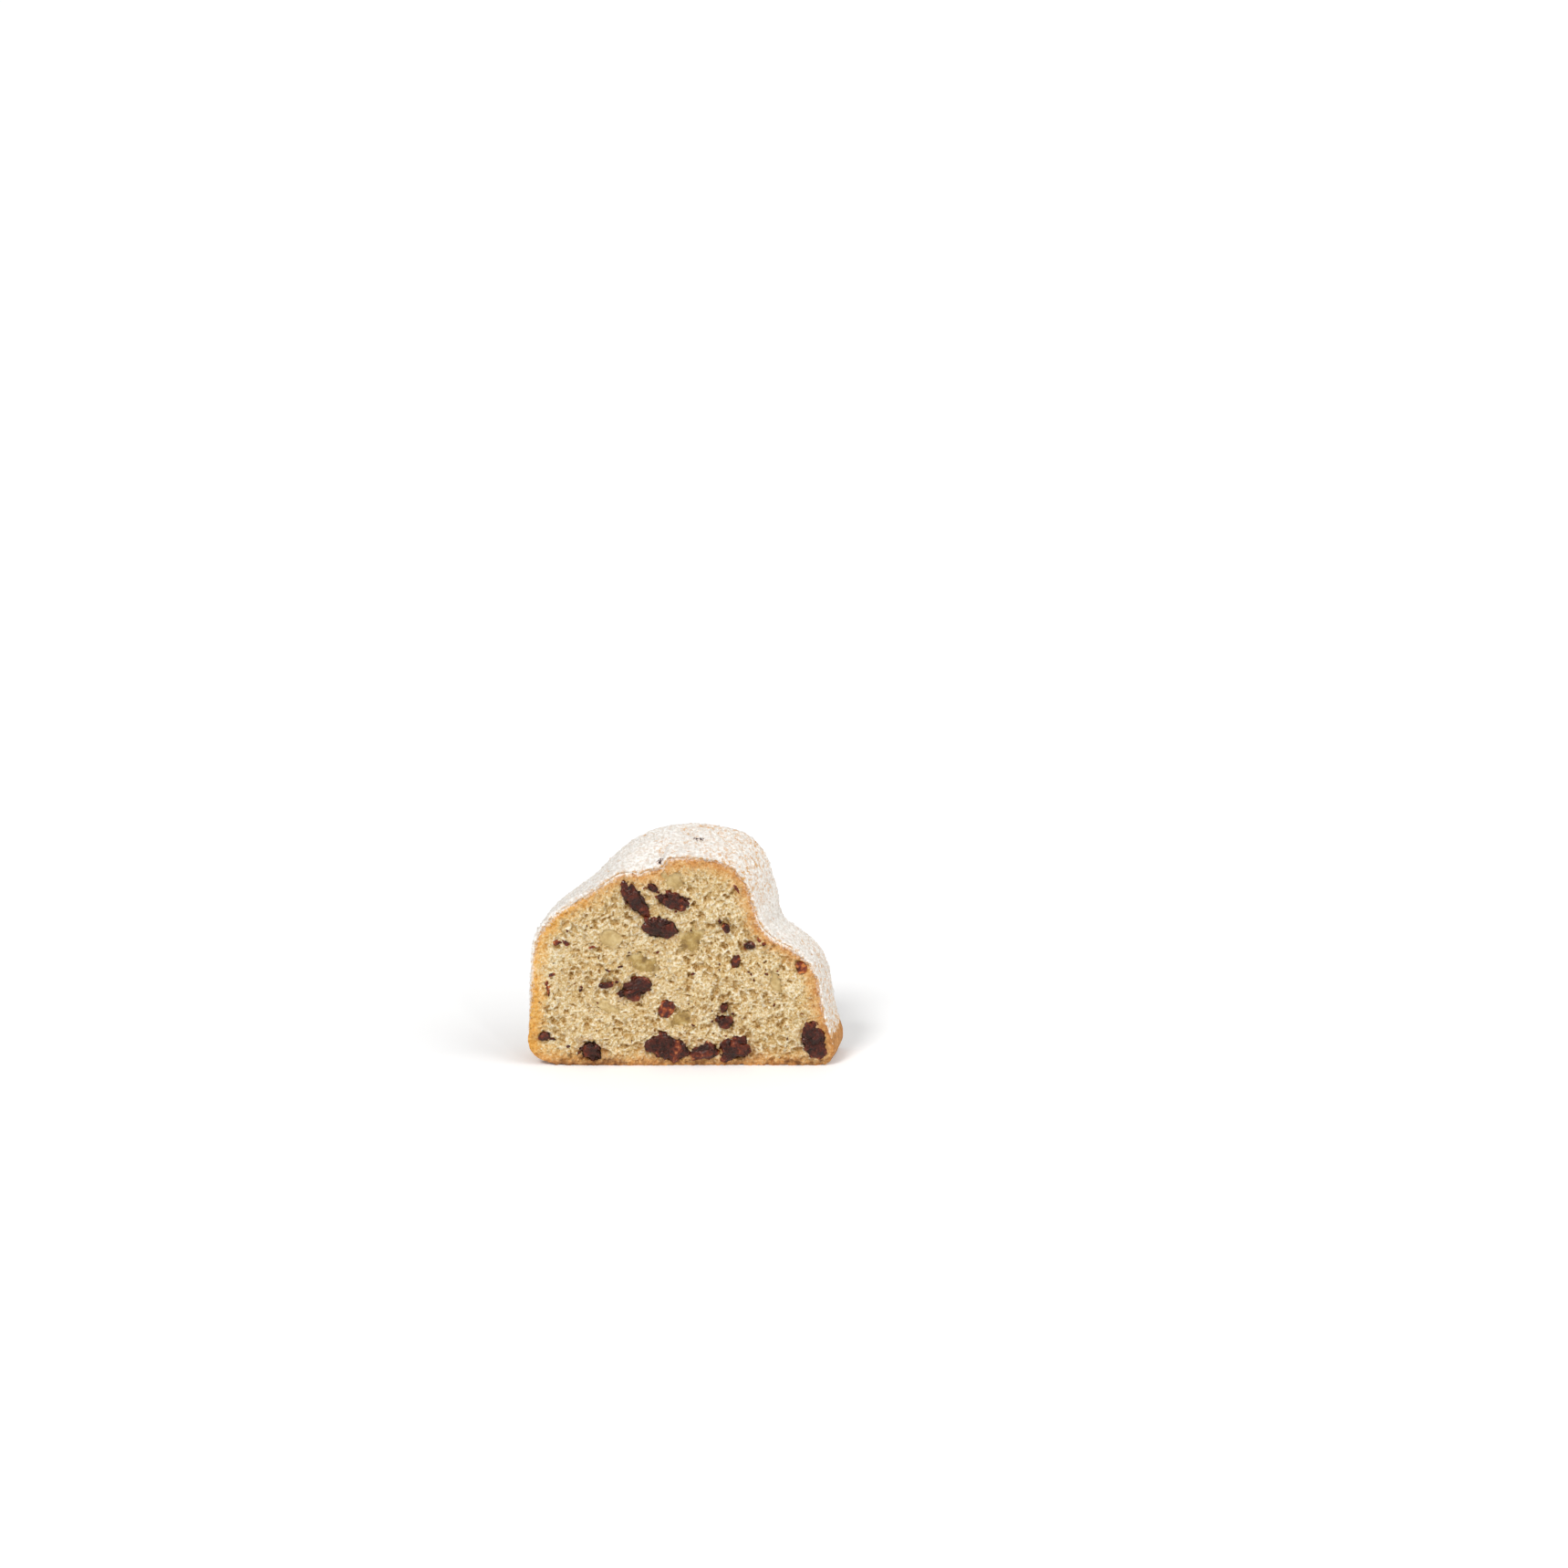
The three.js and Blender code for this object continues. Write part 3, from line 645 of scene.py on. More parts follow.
def cut_face(face, seed):
    """Maps of one cut: relief, how deep the surface lies in millimetres; lightness, 0 in pores to 1 on
    walls, which is painted shade; and juice, the brown stain round raisins. The lightness is what the
    relief stands above its own blurred copy."""
    bend_x = 0.24 * blots(2.4, seed) + 0.14 * blots(0.9, seed + 1)
    bend_z = 0.24 * blots(2.4, seed + 2) + 0.14 * blots(0.9, seed + 3)
    depth = dig_pores(seed + 4, bend_x, bend_z)
    depth += 0.18 * np.abs(blots(1.5, seed + 6)) + 0.1 * blots(0.8, seed + 7)
    depth = blur(depth, 0.08)
    # Painted shade: lower values in pores and deeper places, higher on walls that stand above their
    # surroundings.
    tone = 0.64 + 0.6 * (blur(depth, 0.6) - depth) - 0.1 * np.minimum(depth, 1.0)
    tone += 0.06 * blots(0.5, seed + 8) + 0.04 * blots(6.0, seed + 9)
    relief = depth + 0.3 * blots(12.0, seed + 10)
    juice = np.zeros(MAP_CELLS)
    wobble = 0.16 * blots(2.0, seed + 11) + 0.1 * blots(0.9, seed + 12)
    for spot in (s for s in seats if s["face"] == face):
        u, v = map_x - spot["middle"][0], map_z - spot["middle"][1]
        q = np.hypot(*((u * a + v * b) / half for (a, b), half in zip(spot["axes"], spot["half"])))
        pale = spot["kind"] in ("almond", "citron")
        q_ragged = q + wobble * (1.0 if pale else 0.5)
        inside = 1 - smooth(0.88, 1.02 if pale else 1.06, q_ragged)
        if pale:
            halo = 0.75 * np.exp(-(((q_ragged - HALO[0]) / HALO[1]) ** 2))
            relief, tone = relief * (1 - halo) + 0.1 * halo, tone * (1 - halo) + 0.5 * halo
        relief = relief * (1 - inside) + POCKET * inside
        if spot["kind"] == "raisin":
            reach = 0.9 + 1.2 * (spot["middle"][1] < LOW_RAISIN)
            rim = np.exp(-(((q - 1.0) * spot["half"].min() / reach) ** 2))
            juice = np.maximum(juice, rim * smooth(-0.3, 1.2, 0.4 + wobble * 3))
    return {"relief": relief, "tone": np.clip(tone, 0, 1), "juice": np.clip(juice, 0, 1)}


CUTS = {"front": cut_face("front", 100), "back": cut_face("back", 200)}
print("the front cut is", round(float(CUTS["front"]["relief"].max()), 2), "mm deep at most")

# %% [markdown]
# ## How much sugar lies where
#
# The sugar is a piece of its own, but the cut needs to know where it lies, because some falls over the
# edge. A few stations along the outline say how well the crust is covered, from 0 for bare to 1 for thick,
# and the values between them are blended.

# %% Sugar cover along the outline
COVER_STATIONS = [
    (47.2, 7, 0.0), (46, 11, 0.2), (43.8, 18, 0.45), (41.5, 30, 0.55), (36, 37, 0.75), (27, 43.5, 1.0),
    (21.5, 52.5, 0.6), (17, 63, 0.45), (5, 68.8, 0.6), (-6, 68.9, 0.75), (-14, 66.8, 0.85),
    (-25, 62, 1.0), (-40, 52, 1.0), (-47, 44, 0.95), (-48.6, 30, 0.75), (-49.3, 17, 0.45), (-49.9, 10, 0.0),
]
station_turn = np.array([turn_near(x, z) for x, z, _ in COVER_STATIONS])
station_turn = np.where(station_turn > 0.8, station_turn - 1, station_turn)
station_cover = np.array([cover for _, _, cover in COVER_STATIONS])
print("sugar from turn", station_turn[0].round(3), "to", station_turn[-1].round(3))


def cover_at(turn):
    """How well the crust is covered at each turn, from 0 to 1."""
    turn = np.mod(turn + 0.2, 1) - 0.2
    return np.interp(turn, station_turn, station_cover, left=0, right=0)

# %% [markdown]
# ## The rough crust and its rubbed edge
#
# Baking leaves blisters on the crust, the tray leaves pits in its base, and the knife rubs the edge of each
# cut away. Blisters move points along the normal, and pits only upward, so the slice still stands flat. The
# edge's setback is a function of place, because dough and sugar both follow it.

# %% Rough crust and rubbed edge
BASE_ROUGH = 0.35  # millimetres
BASE_TOP = 1.5  # the base's pits end and the blisters are whole at this height
EDGE_BEVEL = 0.7  # how far the cut's edge is rubbed away, in millimetres
EDGE_REACH = 0.9  # and over which distance from the crust that fades


def rubbed(points):
    """How far the edge of a cut is rubbed back at each point, in millimetres."""
    torn = 0.5 + 0.45 * noise(points, 1.3, 41) + 0.3 * noise(points, 0.6, 44)
    return EDGE_BEVEL * np.clip(torn + 0.3, 0.2, 1.4)


def crust(turn, across):
    """The crust with its own roughness: fine blisters along the normal, and a base that only goes up."""
    plain = crust_plain(turn, across)
    rough = 0.22 * noise(plain, 4.0, 31) + 0.12 * noise(plain, 1.4, 32) + 0.07 * noise(plain, 0.7, 33)
    on_base = 1 - smooth(0.0, BASE_TOP, plain[..., 2])
    made = plain + crust_normal(turn, across) * (rough * (1 - on_base))[..., None]
    pits = np.clip(noise(plain, 2.2, 34) + noise(plain, 0.9, 35), 0, 1.5)
    made[..., 2] += on_base * BASE_ROUGH * pits
    made[..., 2] = np.maximum(made[..., 2], 0)
    return made


print("edge rubbed back by", rubbed(crust(np.linspace(0, 1, 400), 0.0)).mean().round(2), "mm on average")

# %% [markdown]
# ## The grid of a cut
#
# A cut needs small squares of even size, because its pores are moved points, and a fan would crowd in the
# middle. A square grid spread over the outline has no pole. It bends along the diagonals where the square's
# corners went, so it is relaxed like a net of springs.

# %% Helpers for the grid
def on_disc(a, b):
    """The turn and the reach, 0 in the middle to 1 at the edge, of points of the square from -1 to 1."""
    wide = np.abs(a) >= np.abs(b)
    safe_a, safe_b = np.where(a == 0, 1, a), np.where(b == 0, 1, b)
    turn_wide = np.where(a > 0, 0, 0.5) + b / safe_a / 8
    turn_high = np.where(b > 0, 0.25, 0.75) - a / safe_b / 8
    return np.where(wide, turn_wide, turn_high), np.maximum(np.abs(a), np.abs(b))


def ring_of_square(n):
    """Grid indices of the square's edge, anticlockwise from the middle of the right side."""
    s = np.arange(4 * n) * 2 / n
    s = np.where(s > 7, s - 8, s)
    a = np.select([s < 1, s < 3, s < 5], [1, 2 - s, -1], s - 6)
    b = np.select([s < 1, s < 3, s < 5], [s, 1, 4 - s], -1)
    i, j = np.rint((a + 1) / 2 * n).astype(int), np.rint((b + 1) / 2 * n).astype(int)
    return i * (n + 1) + j


def relaxed(grid, rounds):
    """The grid with every inner point moved to the middle of its four neighbours, round after round. It
    evens out the squares along the lines where the corners of the square were bent onto the outline."""
    for _ in range(rounds):
        grid[1:-1, 1:-1] = (grid[2:, 1:-1] + grid[:-2, 1:-1] + grid[1:-1, 2:] + grid[1:-1, :-2]) / 4
    return grid


def distance_to(rim, x, z, parts=64):
    """Millimetres from each point to the nearest of the rim's points, and that one's number. The points
    are taken in parts, which saves memory."""
    pairs = zip(np.array_split(x.ravel(), parts), np.array_split(z.ravel(), parts))
    nearest = [np.hypot(px[:, None] - rim[:, 0], pz[:, None] - rim[:, 2]).argmin(1) for px, pz in pairs]
    nearest = np.concatenate(nearest)
    return np.hypot(x.ravel() - rim[nearest, 0], z.ravel() - rim[nearest, 2]).reshape(x.shape), nearest


print("a ring round 4 by 4 squares has", len(ring_of_square(4)), "points")

# %% [markdown]
# ## Crumb and crust
#
# The dough is one solid, but has too many triangles for one piece, so it is made as a front half and a back
# half that share their outline inside the slice. Each is closed: the cut's grid, rows of the same outline
# along the crust to the hidden plane where the halves meet, and that plane.

# %% Crumb and crust, half by half
FACE_STEPS = 276
BAND_STEPS = 17
RELAX_ROUNDS = 300
RIM_POINTS = 900
HIGHEST_WALL = 0.6  # millimetres that the crumb may stand out of the cut
# Painted light: the lighter, golden rind on the left is partly the crust's own colour and partly painted
# light from the upper left.
GOLD_LEFT = -30.0  # the rind is golden left of here, and brown to the right
GOLD_BLEND = 12.0
SCORCH_TOP = 4.5  # the hot baking tray darkened the crust in blotches up to this height
DUST_REACH = 1.0  # how far the sugar that fell on the cut reaches down from its edge
CRUMBS_FROM = 2.5  # loose crumbs lie at least this far from the crust
CRUMBS_ABOVE = 0.5  # and where the cut is less deep than this


def dough_half(name, face):
    """A closed half of the dough: the cut, the crust band up to the middle plane, and that plane."""
    n, m = FACE_STEPS, BAND_STEPS
    side, inward = (0.0, 1.0) if face == "front" else (1.0, -1.0)
    grid = np.linspace(-1, 1, n + 1)
    turn, reach = on_disc(*np.meshgrid(grid, grid, indexing="ij"))
    middle = np.array([FACE_CENTRE[0] + OBLIQUE * side, THICKNESS * side, FACE_CENTRE[1]])
    cut = relaxed(middle + (crust(turn, side) - middle) * reach[..., None], RELAX_ROUNDS)
    rim_turn = np.arange(RIM_POINTS) / RIM_POINTS
    depth_in, nearest = distance_to(crust(rim_turn, side), cut[..., 0], cut[..., 2])
    near_turn = rim_turn[nearest]
    map_place = (cut[..., 0] - OBLIQUE * side, cut[..., 2])
    maps = {key: map_at(values, *map_place) for key, values in CUTS[face].items()}
    relief = np.maximum(maps["relief"], -HIGHEST_WALL) * smooth(0, 0.6, depth_in)
    cut[..., 1] += inward * (relief + rubbed(cut) * np.exp(-depth_in / EDGE_REACH))

    steps = np.linspace(0, 0.5, m + 1)[1:]
    ring_turn = np.arange(4 * n) / (4 * n)
    across = steps if face == "front" else 1 - steps
    band = crust(ring_turn[None, :], across[:, None])
    band[..., 1] += inward * EDGE_BEVEL * 0.5 * np.linspace(1, 0, m + 1)[1:, None] ** 6
    points = np.concatenate([cut.reshape(-1, 3), band.reshape(-1, 3)])

    quads = grid_quads(n + 1, n + 1)
    rows = np.concatenate([ring_of_square(n)[None], (n + 1) ** 2 + np.arange(4 * n * m).reshape(m, 4 * n)])
    after = np.roll(rows, -1, axis=1)
    sides = np.stack([rows[:-1], rows[1:], after[1:], after[:-1]], -1).reshape(-1, 4)
    cap = rows[-1][::-1]
    if face == "back":
        quads, sides, cap = quads[:, ::-1], sides[:, ::-1], cap[::-1]
    faces = quads.tolist() + sides.tolist() + [cap.tolist()]

    bare = np.zeros(band.shape[0] * band.shape[1])
    band_tone = 0.5 + 0.2 * noise(band, 1.2, 42) + 0.12 * noise(band, 0.6, 43)
    rind = np.concatenate([depth_in.ravel(), bare])
    # Painted light: the rind is lighter and more golden on the left, partly as painted light from the upper
    # left, and brown on the right and on the base.
    gold = 1 - smooth(GOLD_LEFT - GOLD_BLEND, GOLD_LEFT + GOLD_BLEND, points[:, 0])
    gold *= smooth(0.5, 7.0, points[:, 2])
    blotches = 0.45 + 0.5 * noise(points, 5.0, 45) + 0.35 * noise(points, 1.8, 46)
    scorch = (1 - smooth(1.0, SCORCH_TOP, points[:, 2])) * np.clip(blotches, 0, 1)
    cover = np.concatenate([cover_at(near_turn).ravel(), bare])
    piece(
        name, points, faces, crumb.material, "crumb", ["crumb_and_crust"], sharp=80,
        tone=np.concatenate([maps["tone"].ravel(), band_tone.ravel()]), rind=rind, gold=gold,
        dust=cover * np.exp(-rind / DUST_REACH), scorch=scorch,
        juice=np.concatenate([maps["juice"].ravel(), bare]),
    )
    return cut[(depth_in > CRUMBS_FROM) & (relief < CRUMBS_ABOVE)]


walls = {face: dough_half("dough_" + face, face) for face in CUTS}
print("places for loose crumbs:", {face: len(places) for face, places in walls.items()})

# %% [markdown]
# ## The sugar coat
#
# The sugar is a thin shell over the crust, from just above one foot to just above the other. Its outside is
# the crust moved out by a thickness that depends on the cover and on noise, for drifts, lumps and powder.
# Where the cover is poor it falls below zero, so the shell dips under the crust and leaves a bare patch.
# The inside runs just under the crust, and the two close at the edges.

# %% Sugar shell
SUGAR = 0.95  # millimetres where it lies thick
SUNK = 0.3  # the inside lies this far under the crust
SUGAR_STEPS = ((700, 58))
EDGE = 0.9  # millimetres over which the sugar thins towards a cut
THINNEST = 0.1  # millimetres between the outside and the inside
LIES_THICK = 0.35  # clumps lie where there is more sugar than this


def sugar_thickness(points, turn, across):
    """Millimetres of sugar: SUGAR times the cover, less towards both cuts, plus noise in drifts and
    lumps, minus holes that open where the cover is poor."""
    cover = cover_at(turn)
    to_cut = THICKNESS * np.minimum(across, 1 - across)
    near = smooth(-0.2, EDGE, to_cut + 0.45 * noise(points, 1.8, 51) + 0.25 * noise(points, 0.8, 52))
    lumps = 0.2 * noise(points, 3.2, 53) + 0.2 * noise(points, 1.6, 54) + 0.2 * noise(points, 0.85, 55)
    holes = 0.6 * noise(points, 1.7, 56) + 0.55 * noise(points, 0.8, 57)
    bare = np.clip(holes - (0.05 + 1.0 * cover), 0, 1)
    thick = SUGAR * (0.18 + 0.82 * cover) * (0.55 + 0.45 * near) + lumps * (0.4 + 0.6 * cover) - 1.4 * bare
    return thick * smooth(0.0, 0.25, cover) - 0.08 * (1 - near) - 0.3 * (1 - smooth(0.0, 0.2, cover))


def sugar_coat():
    """The closed shell: two grids over turn and across, joined along their four edges. Across runs from
    one rubbed edge of the crust to the other."""
    k, m = SUGAR_STEPS
    turn = np.linspace(station_turn[0], station_turn[-1], k + 1)[:, None]
    from_front = rubbed(crust(turn, 0.0)) / THICKNESS
    from_back = rubbed(crust(turn, 1.0)) / THICKNESS
    across = from_front + (1 - from_front - from_back) * np.linspace(0, 1, m + 1)[None, :]
    turn, across = np.broadcast_arrays(turn, across)
    plain, out = crust_plain(turn, across), crust_normal(turn, across)
    thick = sugar_thickness(plain, turn, across)
    outside = plain + out * np.maximum(thick, THINNEST - SUNK)[..., None]
    inside = plain - out * SUNK
    points = np.concatenate([outside.reshape(-1, 3), inside.reshape(-1, 3)])
    index = np.arange(thick.size).reshape(k + 1, m + 1)
    quads = grid_quads(k + 1, m + 1)[:, [0, 3, 2, 1]]
    edge = np.concatenate([index[:-1, 0], index[-1, :-1], index[:0:-1, -1], index[0, :0:-1]])
    after = np.roll(edge, -1)
    walls = np.stack([edge, after, after + index.size, edge + index.size], -1)
    faces = np.concatenate([quads, quads[:, ::-1] + index.size, walls]).tolist()
    values = np.concatenate([thick.ravel(), np.zeros(thick.size)])
    piece("sugar_shell", points, faces, sugar.material, "icing_sugar", ["sugar_coat"], thick=values)
    return outside[thick > LIES_THICK]


powdered = sugar_coat()

# %% [markdown]
# ## A ball without poles
#
# Every raisin, nut and crumb starts as a ball. A ball of rings would pinch at its poles. A cube whose sides
# are cut into squares and blown up has none, and its squares stay almost equal.

# %% The ball
def ball(n):
    """Unit directions and quads of a cube whose sides have n by n squares, blown up to a sphere."""
    grid = np.tan(np.linspace(-1, 1, n + 1) * math.pi / 4)
    a, b = np.meshgrid(grid, grid, indexing="ij")
    one = np.ones_like(a)
    sides = [(one, a, b), (-one, b, a), (b, one, a), (a, -one, b), (a, b, one), (b, a, -one)]
    points = np.concatenate([np.stack(side, -1).reshape(-1, 3) for side in sides])
    quads = copies(grid_quads(n + 1, n + 1), (n + 1) ** 2, len(sides))
    _, first, where = np.unique(points.round(6), axis=0, return_index=True, return_inverse=True)
    points = points[first]
    return points / np.linalg.norm(points, axis=-1, keepdims=True), where.ravel()[quads]


print("the smallest ball has", len(ball(2)[1]), "quads")

# %% [markdown]
# ## Raisins, almonds and peel
#
# Each ball is stretched to its node, given lobes, and pressed flat where the knife went through. Raisins
# get deep creases, from the absolute value of noise, which has sharp valleys and round ridges. Almonds and
# citron get facets like chopped nuts, and orange peel gets soft ripples.

# %% One lump of each kind
CREASES = {  # how far apart the creases lie and how deep they are, in millimetres
    "raisin": (2.8, 2.6), "orange_peel": (2.0, 1.1), "almond": (3.0, 0.3), "citron": (2.6, 0.4),
}
LARGER = {  # than the solid, because lobes and creases take some of the size away
    "raisin": 1.18, "orange_peel": 1.05, "almond": 1.3, "citron": 1.3, "on_top": 0.75,
}
SMALL = 2.6  # lumps with a smaller half width than this have fewer faces
BALL_STEPS_SMALL, BALL_STEPS = 12, 22
CHOPPED = ("almond", "citron")
CORNERS = 11  # facets of a chopped piece
TOP_DUST = 0.5  # how well sugar covers the raisins on the hump
RIM_GLOW = 0.3  # how much light shines through the thin rim of a cut piece
SET_BACK = {"almond": 0.4, "citron": 0.4}  # how far a piece lies behind the cut, in millimetres
PRESSED_AT = 0.7  # the share of the half depth from which a piece is pressed flat
PRESSED = {"raisin": 0.45, "orange_peel": 0.85, "almond": 0.85, "citron": 0.85}  # and by which share
MEAN_FOLD = 0.34


def lump(spot, number):
    """The points of one piece of fruit and its ridge values: a ball of its seat's size, with lobes, then
    creases, facets or ripples, and its outward side pressed flat where the knife passed."""
    kind = spot["kind"]
    directions, quads = ball(BALL_STEPS_SMALL if spot["half"].max() < SMALL else BALL_STEPS)
    own = directions * 2.1 + 17.0 * number
    lobes = 1 + 0.3 * noise(own, 1.3, 61) + 0.12 * noise(own, 0.7, 62)
    near, far = spot["y"][::-1] if spot["face"] == "back" else spot["y"]
    half = np.array([spot["half"][0], abs(far - near) / 2, spot["half"][1]])
    if kind in CHOPPED:
        corners = np.random.default_rng(700 + number).normal(size=(CORNERS, 3))
        corners /= np.linalg.norm(corners, axis=-1, keepdims=True)
        lobes = 0.35 * lobes + 0.58 / np.maximum((directions @ corners.T).max(-1), 0.68)
    larger = LARGER["on_top" if spot["face"] == "top" else kind]
    shape = directions * lobes[:, None] * half * larger
    rim = smooth(0.8, 1.15, np.hypot(shape[:, 0] / half[0], shape[:, 2] / half[2]))
    rim *= 0.5 + 0.7 * noise(own, 0.9, 67)
    place = shape + 31.0 * number
    crease_wave, crease_depth = CREASES[kind]
    fold_layers = ((0.6, 1, 63), (0.28, 2, 64), (0.16, 4, 65))
    # The folds value is low in the creases, where the raisin and peel ramps paint their shade dark.
    folds = sum(share * np.abs(noise(place, crease_wave / by, seed)) for share, by, seed in fold_layers)
    shape += directions * ((folds - MEAN_FOLD) * crease_depth * min(1.0, half.min() / 2.4))[:, None]
    outward = 1.0 if spot["face"] == "back" else -1.0
    toward = outward * shape[:, 1]
    if spot["face"] != "top":
        toward -= np.maximum(toward - half[1] * PRESSED_AT, 0) * PRESSED[kind]
        toward -= SET_BACK.get(kind, 0.0)
    flat = spot["middle"] + shape[:, [0, 2]] @ spot["axes"]
    points = np.stack([flat[:, 0], (near + far) / 2 + outward * toward, flat[:, 1]], -1)
    return points, quads, np.clip(folds, 0, 1), rim * RIM_GLOW


print("fruit meshes have", len(ball(BALL_STEPS)[1]), "quads, small ones", len(ball(BALL_STEPS_SMALL)[1]))

# %% Make every piece
for number, spot in enumerate(seats):
    points, quads, ridge, rim = lump(spot, number)
    piece(
        spot["node"].replace("_front", "_cut").replace("_back", "_rear").replace("_top", "_crown"),
        points, quads.tolist(), FINISHES[spot["kind"]], spot["kind"], [spot["node"]],
        ridge=ridge, rim=rim, dust=np.full(len(points), TOP_DUST * (spot["face"] == "top")),
    )

# %% [markdown]
# ## Bits of peel and skin
#
# Between the large pieces lie flecks of orange peel, slivers of almond skin and scraps of raisin, too small
# to be pieces of their own. They keep the crumb from looking like a sponge. Each is one more ball,
# stretched, turned and sunk half into the cut, whose depth there is read from the relief map.

# %% Small bits on the front cut
BITS = {  # x, z, width, height in millimetres and tilt in degrees
    "orange_peel": [
        (-40.6, 41.4, 2.2, 1.6, 20), (-37.9, 41.2, 2.6, 1.2, -50), (-43.6, 26.2, 1.4, 4.6, 12),
        (-42.4, 30.6, 2.2, 1.0, 30), (-37.2, 6.4, 1.4, 0.9, 40), (15.9, 59.4, 1.0, 3.2, 30),
        (23.4, 42.0, 1.2, 2.4, 35), (-29.6, 39.8, 2.0, 0.9, 10),
    ],
    "raisin": [
        (-33.2, 25.4, 0.7, 3.8, -32), (-27.6, 19.4, 3.8, 0.7, -38), (-22.0, 27.6, 2.6, 1.0, 20),
        (-20.6, 33.2, 2.0, 0.7, 10), (-24.6, 32.0, 1.6, 0.7, -25), (-42.6, 9.0, 2.4, 0.9, -20),
        (10.6, 48.4, 0.9, 2.4, 30), (14.6, 13.6, 2.6, 0.9, -35), (2.4, 30.8, 1.8, 0.8, 30),
    ],
}
BIT_THICKNESS = 0.9  # millimetres at most


def bits(kind, rows, number):
    """One mesh of a kind's bits. Each is a ball of its row's size with uneven lobes, turned by its tilt,
    whose middle lies on the cut."""
    directions, quads = ball(6)
    points = []
    for i, (x, z, width, height, tilt) in enumerate(rows):
        angle = math.radians(tilt)
        own = directions + 9.0 * i
        uneven = 1 + 0.45 * noise(own + number, 0.8, 71) + 0.25 * noise(own, 0.4, 72)
        thickness = min(width, height, BIT_THICKNESS)
        shape = directions * uneven[:, None] * np.array([width, thickness, height]) / 2
        y = map_at(CUTS["front"]["relief"], np.array([x]), np.array([z]))[0]
        turned_x = shape[:, 0] * math.cos(angle) - shape[:, 2] * math.sin(angle)
        turned_z = shape[:, 0] * math.sin(angle) + shape[:, 2] * math.cos(angle)
        points.append(np.stack([x + turned_x, y + shape[:, 1], z + turned_z], -1))
    faces = copies(quads, len(directions), len(rows)).tolist()
    points = np.concatenate(points)
    ridge = 0.4 + 0.35 * noise(points, 0.8, 73)
    piece(
        kind + "_bits", points, faces, FINISHES[kind], kind, ["crumb_and_crust"],
        ridge=ridge, rim=0.1 * ridge, dust=0 * ridge,
    )


for number, (kind, rows) in enumerate(BITS.items()):
    bits(kind, rows, number)

# %% [markdown]
# ## Loose crumbs, shreds and clumps of sugar
#
# A knife tears crumbs off the pore walls and drags shreds of skin along, and icing sugar falls in clumps.
# All are real lumps, because they catch the light and cast small shadows. Their places are picked at random
# from the points of the surfaces that carry them, so none can float. Each has only 24 faces.

# %% Scatter lumps on a surface
CRUMBS, CLUMPS = ((650, 1700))
FLECKS = 70  # shreds of brown almond skin in each cut


def scatter(name, places, count, sizes, ragged, seed, material, slot, node, **values):
    """A mesh of count small lumps at places picked at random. Each is the ball stretched along the axes
    and with its corners shifted, both at random and by up to the ragged share of its size. Small sizes
    are more frequent than large ones."""
    random = np.random.default_rng(seed)
    directions, quads = ball(2)
    centres = places[random.choice(len(places), count, replace=False)]
    size = sizes[0] + (sizes[1] - sizes[0]) * random.uniform(size=(count, 1, 1)) ** 2
    stretch = 1 + random.uniform(-1.5, 1.5, (count, 1, 3)) * ragged
    shape = directions * stretch + random.uniform(-1, 1, (count, len(directions), 3)) * ragged
    points = (centres[:, None] + shape * size / 2).reshape(-1, 3)
    values = {key: np.full(len(points), value) for key, value in values.items()}
    piece(name, points, copies(quads, len(directions), count).tolist(), material, slot, [node], **values)


for face, seed in (("front", 81), ("back", 82)):
    scatter(
        "crumbs_" + face, walls[face], CRUMBS, (0.2, 0.8), 0.35, seed,
        crumb.material, "crumb", "crumb_and_crust",
        tone=0.75, rind=RIND_REACH, gold=0, dust=0, juice=0, scorch=0,
    )
    scatter(
        "flecks_" + face, walls[face], FLECKS, (0.3, 1.0), 0.45, seed + 4,
        raisin.material, "raisin", "crumb_and_crust",
        ridge=0.55, rim=0.1, dust=0,
    )
scatter(
    "sugar_clumps", powdered, CLUMPS, (0.2, 0.75), 0.14, 83, sugar.material, "icing_sugar", "sugar_coat",
    thick=0.9,
)

# %% [markdown]
# ## Floor, light and camera
#
# The slice stands on a nearly white surface in a bright studio. A main lamp shines from the upper left and
# a wide, weaker one from the right. Both are distant, because they light the whole floor evenly. Two small
# weak ones add glints on the raisins. The camera looks down at about 20 degrees with a long lens, so that
# the cut shows almost flat.

# %% Floor
FLOOR_SIZE = 400.0  # metres, so that its edge lies beyond the horizon

floor_finish = Finish("floor", Roughness=0.7)
floor_finish.paint(floor_finish.mix(floor_finish.grain(400.0, 2), colour("fdfdfd"), colour("fefefe")))
floor_mesh = bpy.data.meshes.new("floor")
corner = FLOOR_SIZE / 2
corners = [(-corner, -corner, 0), (corner, -corner, 0), (corner, corner, 0), (-corner, corner, 0)]
floor_mesh.from_pydata(corners, [], [(0, 1, 2, 3)])
floor_mesh.materials.append(floor_finish.material)
floor = add("floor", floor_mesh)
print("floor:", FLOOR_SIZE, "m wide")

# %% Lights
WORLD_STRENGTH = 0.5


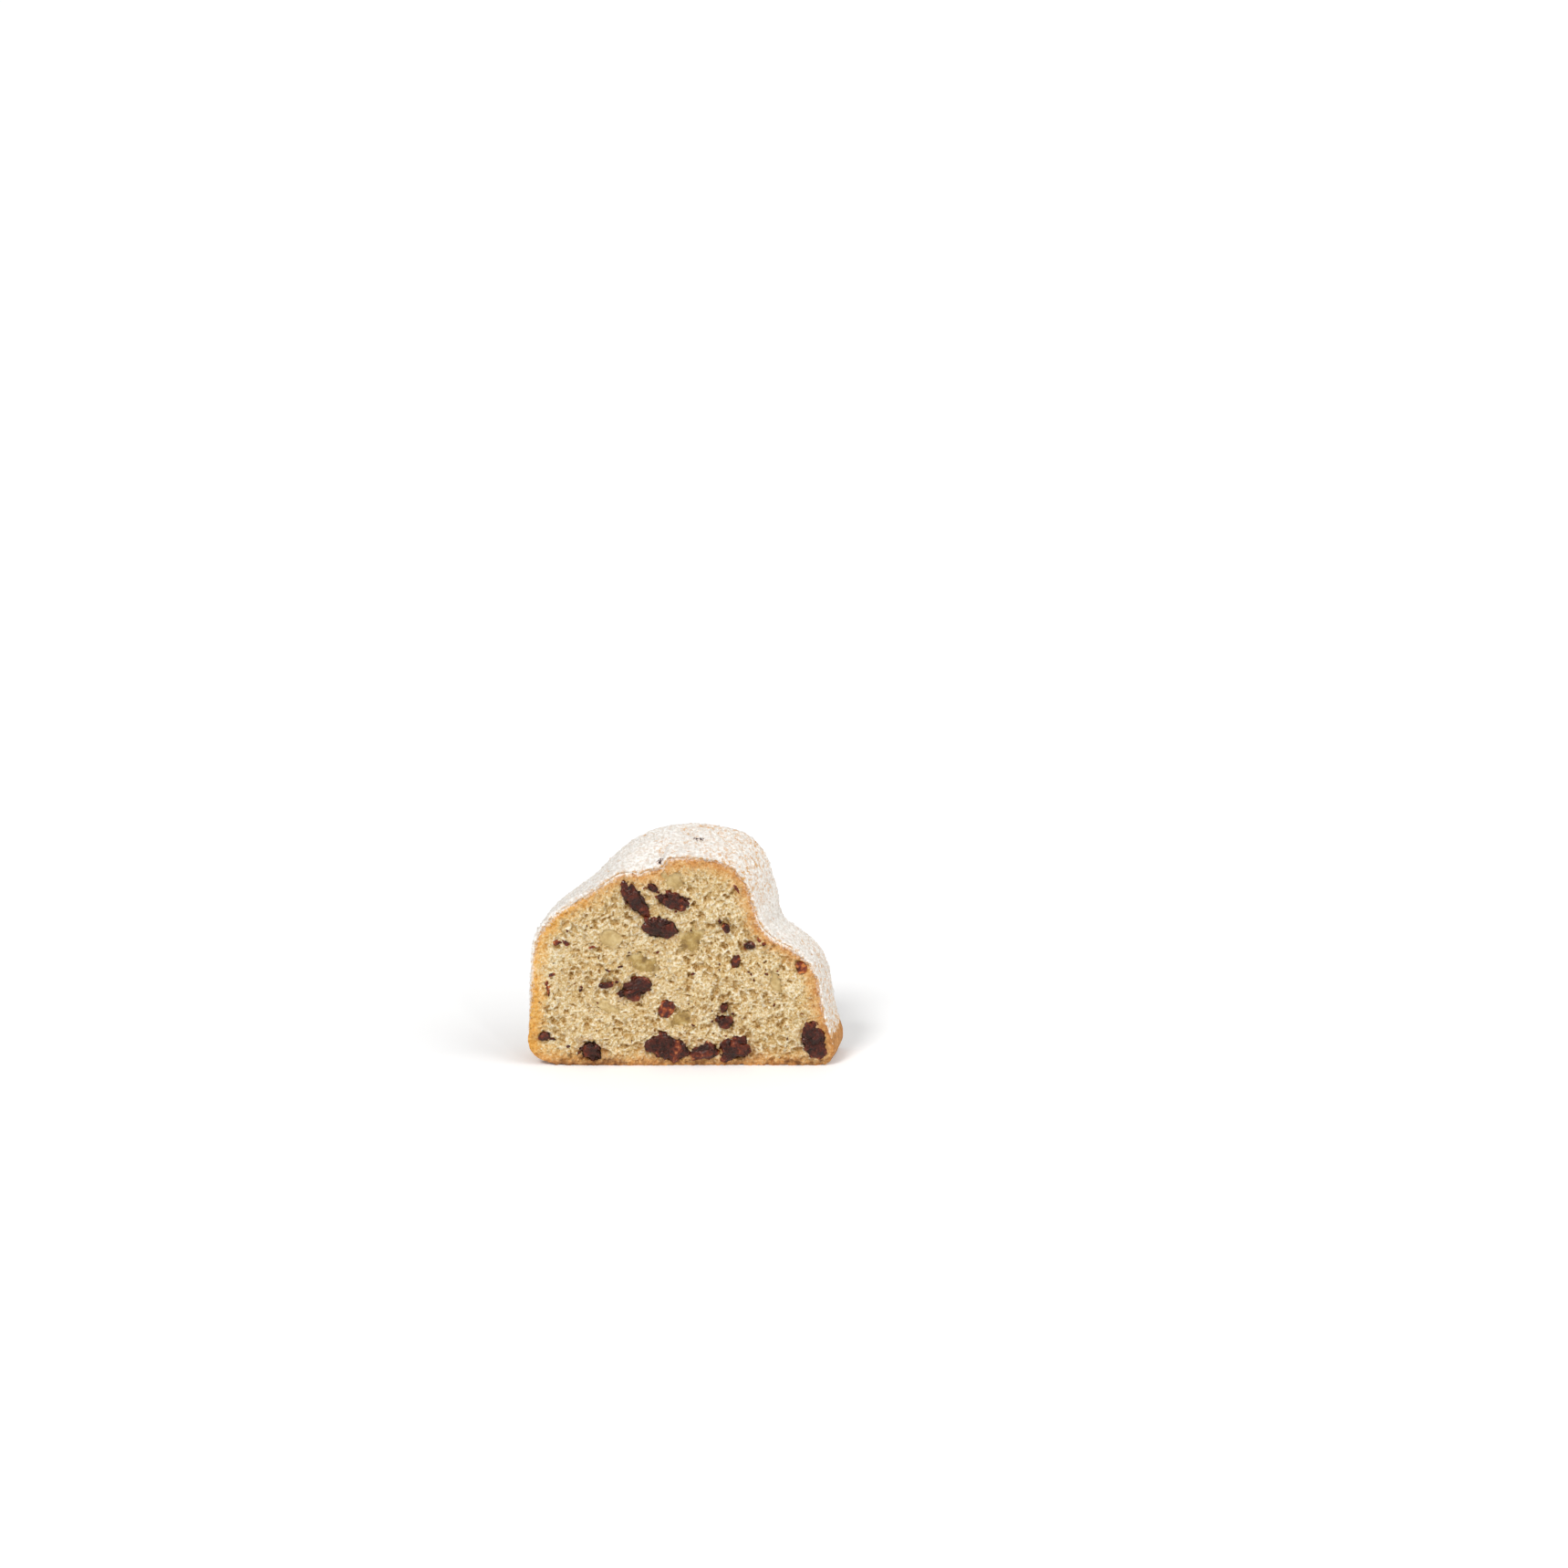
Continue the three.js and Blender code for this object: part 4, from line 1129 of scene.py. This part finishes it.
def lamp(name, azimuth, elevation, strength, softness):
    """A distant lamp that shines from that direction. Softness is how wide it looks, all in degrees."""
    a, e = math.radians(azimuth), math.radians(elevation)
    back = Vector((math.sin(a) * math.cos(e), -math.cos(a) * math.cos(e), math.sin(e)))
    data = bpy.data.lights.new(name, "SUN")
    data.angle = math.radians(softness)
    data.energy = strength
    made = add(name, data)
    made.rotation_mode = "QUATERNION"
    made.rotation_quaternion = (-back).to_track_quat("-Z", "Y")
    print(f"{name}: {strength} from {azimuth} degrees right of the camera, {elevation} up")


lamp("key", -38, 47, 1.45, 16)
lamp("fill", 66, 40, 1.12, 45)
lamp("glint_left", -34, 14, 0.26, 3)
lamp("glint_right", 24, 30, 0.22, 3)
world = bpy.data.worlds.new("studio")
world.use_nodes = True
world.node_tree.nodes["Background"].inputs["Color"].default_value = (1, 1, 1, 1)
world.node_tree.nodes["Background"].inputs["Strength"].default_value = WORLD_STRENGTH
bpy.context.scene.world = world
bpy.context.scene.view_settings.view_transform = "Standard"

# %% Camera
IMAGE = 1719  # pixels, wide and high
LENS, SENSOR = 85.0, 36.0  # millimetres
PIXELS_PER_MM = 3.42
AIM_PIXEL = (751.5, 1168.5)  # where the outline's zero point lies in the picture, on the floor
AIM_POINT = Vector(SHIFT * MM)
ELEVATION = 20.0  # degrees above the horizon

focal = LENS / SENSOR * IMAGE
elevation = math.radians(ELEVATION)
back = Vector((0, -math.cos(elevation), math.sin(elevation)))
camera_data = bpy.data.cameras.new("camera")
camera_data.lens, camera_data.sensor_width = LENS, SENSOR
camera = add("camera", camera_data)
camera.location = AIM_POINT + back * (focal / PIXELS_PER_MM * MM)
camera.rotation_mode = "QUATERNION"
yaw = Quaternion((0, 1, 0), -math.atan((IMAGE / 2 - AIM_PIXEL[0]) / focal))
pitch = Quaternion((1, 0, 0), math.atan((AIM_PIXEL[1] - IMAGE / 2) / focal))
camera.rotation_quaternion = (-back).to_track_quat("-Z", "Y") @ yaw @ pitch
bpy.context.scene.camera = camera
print("camera", [round(v, 3) for v in camera.location])
